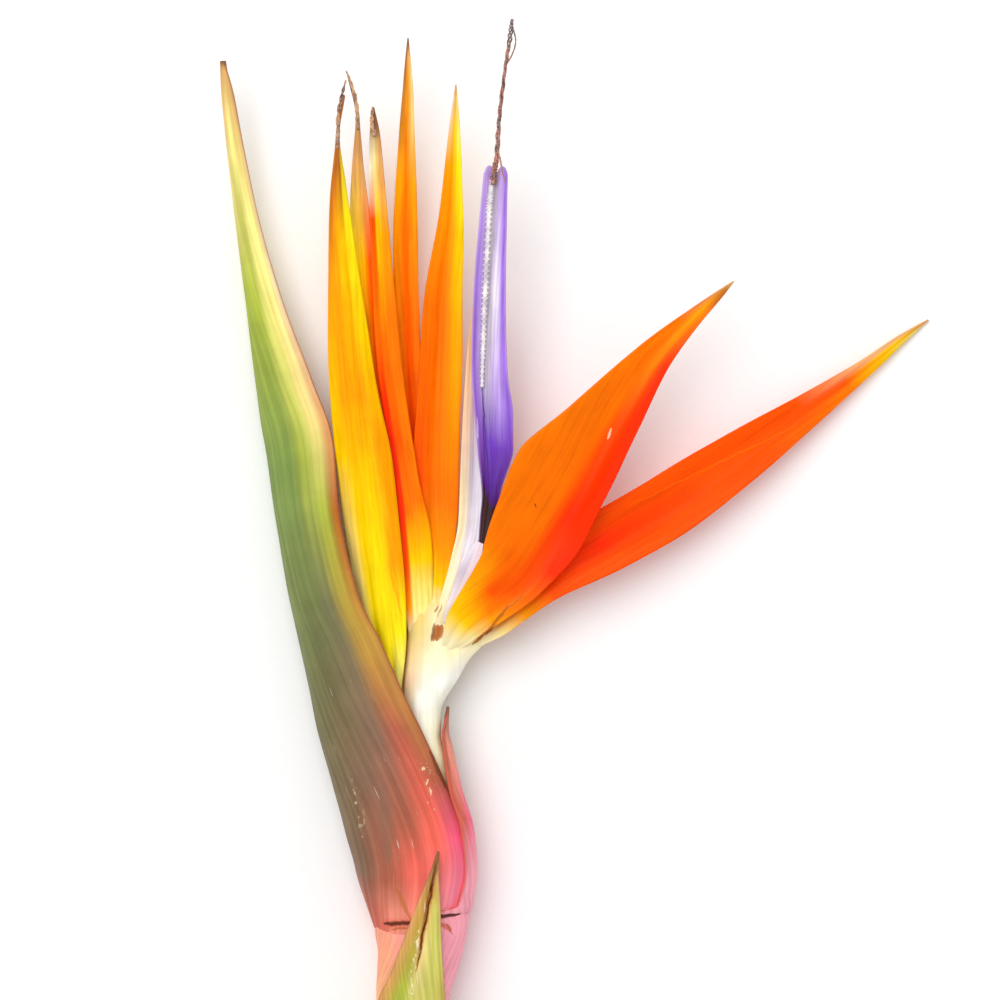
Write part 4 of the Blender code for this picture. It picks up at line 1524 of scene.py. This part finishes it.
THIRD_FINISH = TissueFinish(
    "third_sepal_skin",
    (
        # Painted shade: the scarlet down the left side is the shade in the gap beside the second sepal
        (0.20, ((0.0, Tone.AMBER), (0.08, Tone.FLAME), (0.2, Tone.SCARLET), (0.42, Tone.SCARLET),
                (0.6, Tone.ORANGE), (0.78, Tone.FLAME), (0.88, Tone.CREAM), (1.0, Tone.HUSK))),
        (0.36, ((0.0, Tone.CHIFFON), (0.1, Tone.GOLD), (0.2, Tone.ORANGE), (0.35, Tone.FLAME),
                (0.55, Tone.ORANGE), (0.78, Tone.GOLD), (0.9, Tone.STRAW), (1.0, Tone.HUSK))),
        (0.88, ((0.0, Tone.CHIFFON), (0.1, Tone.GOLD), (0.22, Tone.ORANGE), (0.6, Tone.ORANGE),
                (0.75, Tone.AMBER), (0.9, Tone.TAN), (1.0, Tone.HUSK))),
    ),
    vein_tint=0.12, dry=(0.935, 0.03, Tone.HUSK), glow=0.10, foot=(0.05, Tone.CREAM))
TALL_FINISH = TissueFinish(
    "tall_sepal_skin",
    (
        (0.12, ((0.0, Tone.CHIFFON), (0.25, Tone.AMBER), (0.45, Tone.ORANGE), (0.8, Tone.AMBER),
                (1.0, Tone.HUSK))),
        (0.5, ((0.0, Tone.CHIFFON), (0.25, Tone.AMBER), (0.45, Tone.FLAME), (0.8, Tone.ORANGE),
               (0.95, Tone.AMBER), (1.0, Tone.TAN))),
        (0.88, ((0.0, Tone.CHIFFON), (0.2, Tone.GOLD), (0.35, Tone.ORANGE), (0.6, Tone.ORANGE),
                (0.8, Tone.AMBER), (0.95, Tone.STRAW), (1.0, Tone.TAN))),
    ),
    vein_tint=0.13, dry=(0.975, 0.02, Tone.HUSK), glow=0.10)
LEFT_FINISH = TissueFinish(
    "left_sepal_skin",
    (
        (0.12, ((0.0, Tone.CREAM), (0.05, Tone.GOLD), (0.12, Tone.AMBER), (0.25, Tone.FLAME),
                (0.6, Tone.ORANGE), (0.85, Tone.AMBER), (1.0, Tone.PEACH))),
        (0.5, ((0.0, Tone.CREAM), (0.05, Tone.GOLD), (0.1, Tone.AMBER), (0.22, Tone.ORANGE),
               (0.6, Tone.ORANGE), (0.8, Tone.AMBER), (0.92, Tone.GOLD), (1.0, Tone.TAN))),
        (0.88, ((0.0, Tone.CREAM), (0.05, Tone.GOLD), (0.1, Tone.AMBER), (0.2, Tone.ORANGE),
                (0.45, Tone.AMBER), (0.7, Tone.GOLD), (0.85, Tone.LEMON), (1.0, Tone.STRAW))),
    ),
    vein_rate=(0.5, 14.0), vein_tint=0.10, dry=(0.975, 0.02, Tone.TAN), glow=0.10, foot=(0.04, Tone.CREAM))
UPPER_FINISH = TissueFinish(
    "upper_sepal_skin",
    (
        (0.10, ((0.0, Tone.GOLD), (0.08, Tone.AMBER), (0.2, Tone.ORANGE), (0.85, Tone.ORANGE),
                (1.0, Tone.TAN))),
        (0.36, ((0.0, Tone.GOLD), (0.1, Tone.FLAME), (0.3, Tone.ORANGE), (0.8, Tone.ORANGE),
                (0.92, Tone.AMBER), (1.0, Tone.RUSSET))),
        (0.52, ((0.0, Tone.GOLD), (0.07, Tone.ORANGE), (0.14, Tone.FLAME), (0.35, Tone.SCARLET),
                (0.6, Tone.FLAME), (0.9, Tone.AMBER), (1.0, Tone.RUSSET))),
        (0.90, ((0.0, Tone.STRAW), (0.06, Tone.AMBER), (0.12, Tone.ORANGE), (0.22, Tone.SCARLET),
                (0.75, Tone.SCARLET), (0.9, Tone.ORANGE), (1.0, Tone.HUSK))),
    ),
    vein_rate=(0.6, 15.0), vein_tint=0.08, vein_relief=0.26,
    marks=BASE_CRACK + (
        Mark((6.0, 66.0), (7.0, 68.4), 0.22, Tone.PEACH, 0.75),
        Mark((-8.4, 52.8), (-8.2, 52.9), 0.5, Tone.SEPIA, 0.9),
    ),
    dry=(0.965, 0.03, Tone.TAN), roughness=0.4, gloss=0.06, glow=0.10, foot=(0.05, Tone.CREAM))
LOWER_FINISH = TissueFinish(
    "lower_sepal_skin",
    (
        (0.12, ((0.0, Tone.AMBER), (0.08, Tone.FLAME), (0.7, Tone.FLAME), (0.88, Tone.APRICOT),
                (1.0, Tone.TAN))),
        (0.5, ((0.0, Tone.AMBER), (0.08, Tone.FLAME), (0.25, Tone.SCARLET), (0.5, Tone.FLAME),
               (0.8, Tone.FLAME), (0.92, Tone.GOLD), (1.0, Tone.RUSSET))),
        (0.88, ((0.0, Tone.STRAW), (0.05, Tone.AMBER), (0.12, Tone.FLAME), (0.6, Tone.FLAME),
                (0.8, Tone.ORANGE), (0.9, Tone.GOLD), (1.0, Tone.STRAW))),
    ),
    vein_rate=(0.5, 15.0), vein_tint=0.09, vein_relief=0.26,
    # The orange line along the mid crease is a painted highlight
    marks=BASE_CRACK + (Mark((10.0, 52.6), (44.6, 69.0), 0.16, Tone.ORANGE, 0.5),),
    dry=(0.965, 0.03, Tone.TAN), roughness=0.4, gloss=0.06, glow=0.10, foot=(0.05, Tone.CREAM))
ARROW_FINISH = TissueFinish(
    "arrow_skin",
    (
        # In every column the INK below along 0.2 is painted shade on the dark stalk at the arrow's foot
        (0.06, ((0.2, Tone.INK), (0.215, Tone.PLUM), (0.32, Tone.LILAC), (0.7, Tone.LILAC),
                (1.0, Tone.ORCHID))),
        (0.26, ((0.19, Tone.INK), (0.205, Tone.PLUM), (0.34, Tone.LILAC), (0.55, Tone.ORCHID),
                (1.0, Tone.ORCHID))),
        (0.44, ((0.172, Tone.INK), (0.188, Tone.PLUM), (0.35, Tone.VIOLET), (0.5, Tone.MIST),
                (0.7, Tone.PEARL), (1.0, Tone.MIST))),
        # The grey mist right of the anthers is painted shade beside the anther ridge
        (0.60, ((0.156, Tone.INK), (0.172, Tone.PLUM), (0.32, Tone.VIOLET), (0.5, Tone.MIST),
                (1.0, Tone.MIST))),
        (0.76, ((0.144, Tone.INK), (0.16, Tone.PLUM), (0.3, Tone.VIOLET), (0.45, Tone.ORCHID),
                (0.7, Tone.PEARL), (1.0, Tone.ORCHID))),
        (0.95, ((0.154, Tone.INK), (0.17, Tone.PLUM), (0.3, Tone.VIOLET), (0.5, Tone.LILAC),
                (1.0, Tone.LILAC))),
    ),
    vein_rate=(0.8, 26.0), vein_tint=0.13, vein_relief=0.34, margin=(0.03, Tone.ORCHID, 0.4),
    marks=(
        Mark((-19.0, 77.4), (-17.4, 56.0), 0.16, Tone.PLUM, 0.75),
        # Painted highlight: a pale strip on the fold of the left barb
        Mark((-19.9, 70.6), (-19.7, 66.2), 0.14, Tone.PEARL, 0.7),
    ),
    roughness=0.32, gloss=0.3, glow=0.08)
CLAW_FINISH = TissueFinish(
    "claw_skin",
    (
        (0.12, ((0.0, Tone.CREAM), (0.3, Tone.CREAM), (0.5, Tone.PEACH), (1.0, Tone.APRICOT))),
        (0.5, ((0.0, Tone.CREAM), (0.2, Tone.PEARL), (0.45, Tone.MIST), (1.0, Tone.PEACH))),
        (0.88, ((0.0, Tone.CREAM), (0.2, Tone.PEARL), (0.4, Tone.PEARL), (0.6, Tone.MIST), (1.0, Tone.MIST))),
    ),
    vein_rate=(0.5, 20.0), vein_tint=0.10, vein_relief=0.4, glow=0.10, foot=(0.05, Tone.CREAM),
    marks=(Mark((-27.9, 30.6), (-26.7, 33.2), 0.12, Tone.RUSSET, 0.7),))
NECTARY_FINISH = TissueFinish(
    "nectary_skin",
    (
        (0.2, ((0.0, Tone.PEARL), (0.5, Tone.MIST), (1.0, Tone.PEARL))),
        (0.95, ((0.0, Tone.PEACH), (0.5, Tone.PEARL), (1.0, Tone.PEARL))),
    ),
    vein_rate=(0.5, 12.0), vein_tint=0.05, vein_relief=0.2, glow=0.12)
STYLE_FINISH = DryFinish("style_dry_skin", Tone.RUST, Tone.INK)
THREAD_FINISH = DryFinish("thread_dry_skin", Tone.TAN, Tone.SEPIA)
POLLEN_FINISH = DryFinish("pollen_skin", Tone.MILK, Tone.MIST, 0.6)


@dataclass
class SubAssembly:
    """Pieces that are built together."""

    pieces: tuple[Piece, ...] = field(default=(), init=False)

    def build(self, effects: Effects) -> list[bpy.types.Object]:
        """Makes every piece and returns them."""
        return [piece.build(effects) for piece in self.pieces]


@dataclass
class Bracts(SubAssembly):
    """The stalk and the leaves round the flower's foot."""

    spathe_wall: float = 1.2
    bract_wall: float = 0.9

    def __post_init__(self) -> None:
        """Lists the pieces."""
        self.pieces = (
            FleshyTube("stem_stalk", "stem", STEM_FINISH, rows=STEM_ROWS, ribs=0.35, seed=1.0),
            Sheath("spathe_boat", "spathe", SPATHE_FINISH, rows=boat_rows(SPATHE_ROWS), steps=(190, 84),
                   wall=self.spathe_wall, ribs=0.16, keel=0.25, seed=2.0),
            Sheath("rear_bract_leaf", "rear_bract", REAR_BRACT_FINISH, rows=REAR_BRACT_ROWS, steps=(160, 96),
                   wall=self.bract_wall, ribs=0.16, seed=3.0),
            Sheath("front_bract_leaf", "front_bract", FRONT_BRACT_FINISH, rows=FRONT_BRACT_ROWS,
                   steps=(150, 84), wall=self.bract_wall, ribs=0.12, slit=FRONT_SLIT, seed=4.0),
        )


@dataclass
class OlderFlower(SubAssembly):
    """The oldest flower: three yellow sepals with dried tips, on a tube of its own."""

    wall: float = 0.75

    def __post_init__(self) -> None:
        """Lists the pieces."""
        self.pieces = (
            FleshyTube("older_tube", "older_flower_tube", OLDER_TUBE_FINISH, rows=OLDER_TUBE_ROWS, seed=5.0),
            Blade("outer_sepal", "older_sepal_outer", OUTER_FINISH, rows=SEPAL_OUTER, roll=(-16.0, 0.0),
                  wall=self.wall, flutes=0.22, waver=0.3, seed=6.0),
            Blade("second_sepal", "older_sepal_second", SECOND_FINISH, rows=SEPAL_SECOND, wall=self.wall,
                  steps=(110, 16), seed=7.0),
            Blade("third_sepal", "older_sepal_third", THIRD_FINISH, rows=SEPAL_THIRD, roll=(0.0, 6.0),
                  buried=2, wall=self.wall, steps=(110, 16), seed=8.0),
            Strand("outer_thread", "older_sepal_outer", THREAD_FINISH, Reach.GOES_WITH, rows=OUTER_THREAD,
                   strands=2, turns=3.0, seed=0.4),
            Strand("second_thread", "older_sepal_second", THREAD_FINISH, Reach.GOES_WITH, rows=SECOND_THREAD,
                   strands=2, turns=3.0, seed=1.1),
            Strand("third_wisp", "older_sepal_third", THREAD_FINISH, Reach.GOES_WITH, rows=THIRD_WISP,
                   strands=2, turns=2.0, seed=2.3),
        )


@dataclass
class MiddleFlower(SubAssembly):
    """The middle flower, of which only the tall sepal stands clear of the spathe."""

    wall: float = 0.75

    def __post_init__(self) -> None:
        """Lists the pieces."""
        self.pieces = (
            Blade("tall_sepal", "middle_sepal_tall", TALL_FINISH, rows=SEPAL_TALL, roll=(0.0, 4.0),
                  wall=self.wall, steps=(120, 18), seed=9.0),
        )


@dataclass
class FreshFlower(SubAssembly):
    """The open flower: three orange sepals, the purple arrow with its claw, nectary, anthers and style."""

    sepal_wall: float = 0.8
    petal_wall: float = 0.6

    def __post_init__(self) -> None:
        """Lists the pieces."""
        self.pieces = (
            FleshyTube("fresh_tube", "fresh_flower_tube", FRESH_TUBE_FINISH, rows=FRESH_TUBE_ROWS, ribs=0.2,
                       seed=10.0),
            Blade("left_sepal", "fresh_sepal_left", LEFT_FINISH, rows=SEPAL_LEFT, wall=self.sepal_wall,
                  buried=2, flutes=0.14, seed=11.0),
            Blade("upper_sepal", "fresh_sepal_upper", UPPER_FINISH, rows=SEPAL_UPPER, roll=(12.0, 8.0),
                  buried=2, wall=self.sepal_wall, steps=(120, 40), flutes=0.10, waver=0.4, seed=12.0),
            Blade("lower_sepal", "fresh_sepal_lower", LOWER_FINISH, rows=SEPAL_LOWER, wall=self.sepal_wall,
                  buried=2, steps=(120, 32), flutes=0.12, waver=0.3, seed=13.0),
            # The arrow's dark foot is painted shade
            Blade("arrow", "arrow_petal", ARROW_FINISH, rows=ARROW_ROWS, wall=self.petal_wall,
                  steps=(140, 36), flutes=0.16, waver=0.2, lobes=3.2, seed=14.0),
            Blade("claw", "petal_claw", CLAW_FINISH, rows=CLAW_ROWS, wall=self.petal_wall, steps=(100, 20),
                  buried=2, flutes=0.14, seed=15.0),
            Blade("nectary", "nectary_petal", NECTARY_FINISH, rows=NECTARY_ROWS, wall=self.petal_wall,
                  steps=(50, 20), buried=1, flutes=0.05, waver=0.2, seed=16.0),
            StamenRow("anthers", "stamens", POLLEN_FINISH, rows=STAMEN_ROWS, seed=17.0),
            Strand("style_strands", "style", STYLE_FINISH, rows=STYLE_ROWS, strands=3, turns=7.0,
                   steps=(220, 8), seed=0.9),
            Strand("style_loop", "style", STYLE_FINISH, Reach.GOES_WITH, rows=STYLE_LOOP, turns=1.5,
                   seed=1.7),
            Strand("style_wisp", "style", STYLE_FINISH, Reach.GOES_WITH, rows=STYLE_WISP, turns=1.0,
                   steps=(30, 8), seed=2.9),
        )


@dataclass(frozen=True)
class Studio:
    """Pale surface, soft light and the camera that looks straight down; lengths in metres."""

    aim: tuple[float, float] = (-0.0153, 0.054)
    camera_height: float = 0.845
    lens: float = 150.0
    floor_size: float = 6.0
    sky: float = 0.62
    key_power: float = 9.0
    key_size: float = 1.0
    key_place: tuple[float, float, float] = (-0.32, 0.42, 1.1)
    floor_drop: float = 0.00005

    def build(self) -> None:
        """Sets up everything round the flower."""
        self._floor()
        self._sky()
        self._key()
        self._camera()

    def _floor(self) -> None:
        """A wide pale surface just under the flower."""
        bm = bmesh.new()
        bmesh.ops.create_grid(bm, x_segments=1, y_segments=1, size=self.floor_size * 0.5)
        bmesh.ops.translate(bm, verts=bm.verts, vec=(0.0, 0.0, -self.floor_drop))
        mesh = bpy.data.meshes.new("surface")
        bm.to_mesh(mesh)
        bm.free()
        made = bpy.data.materials.new("surface_paper")
        made.use_nodes = True
        bench = Bench(made.node_tree)
        shader = made.node_tree.nodes["Principled BSDF"]
        grain = bench.put("ShaderNodeTexNoise")
        bench.feed(grain.inputs["Vector"], bench.place())
        bench.feed(grain.inputs["Scale"], 700.0)
        paper = bench.blend(grain.outputs[0], paint(Tone.PAPER), paint(Tone.PAPER_LIGHT))
        bench.feed(shader.inputs["Base Color"], paper)
        shader.inputs["Roughness"].default_value = 0.9
        shader.inputs["Specular IOR Level"].default_value = 0.1
        mesh.materials.append(made)
        floor = bpy.data.objects.new("surface", mesh)
        bpy.context.scene.collection.objects.link(floor)

    def _sky(self) -> None:
        """Even white light from all round."""
        world = bpy.data.worlds.new("soft_room")
        world.use_nodes = True
        back = world.node_tree.nodes["Background"]
        back.inputs["Color"].default_value = (1.0, 1.0, 1.0, 1.0)
        back.inputs["Strength"].default_value = self.sky
        bpy.context.scene.world = world

    def _key(self) -> None:
        """A large soft lamp above, to the upper left."""
        lamp = bpy.data.lights.new("key", "AREA")
        lamp.shape = "DISK"
        lamp.size = self.key_size
        lamp.energy = self.key_power
        made = bpy.data.objects.new("key", lamp)
        made.location = self.key_place
        made.rotation_euler = made.location.to_track_quat("Z", "Y").to_euler()
        bpy.context.scene.collection.objects.link(made)

    def _camera(self) -> None:
        """The camera that looks straight down on the flower."""
        view = bpy.data.cameras.new("camera")
        view.lens = self.lens
        view.sensor_width = 36.0
        view.clip_start = 0.05
        view.clip_end = 20.0
        made = bpy.data.objects.new("camera", view)
        made.location = (*self.aim, self.camera_height)
        bpy.context.scene.collection.objects.link(made)
        bpy.context.scene.camera = made
        bpy.context.scene.view_settings.view_transform = "Standard"


def main() -> None:
    """Builds the flower part by part, then the studio."""
    logging.basicConfig(level=logging.INFO, format="%(name)s: %(message)s")
    effects = Effects()
    made = 0
    for part in (Bracts(), OlderFlower(), MiddleFlower(), FreshFlower()):
        pieces = part.build(effects)
        made += len(pieces)
        LOG.info("%s: %d pieces", type(part).__name__, len(pieces))
    Studio().build()
    LOG.info("%d pieces in all", made)


if __name__ == "__main__":
    main()
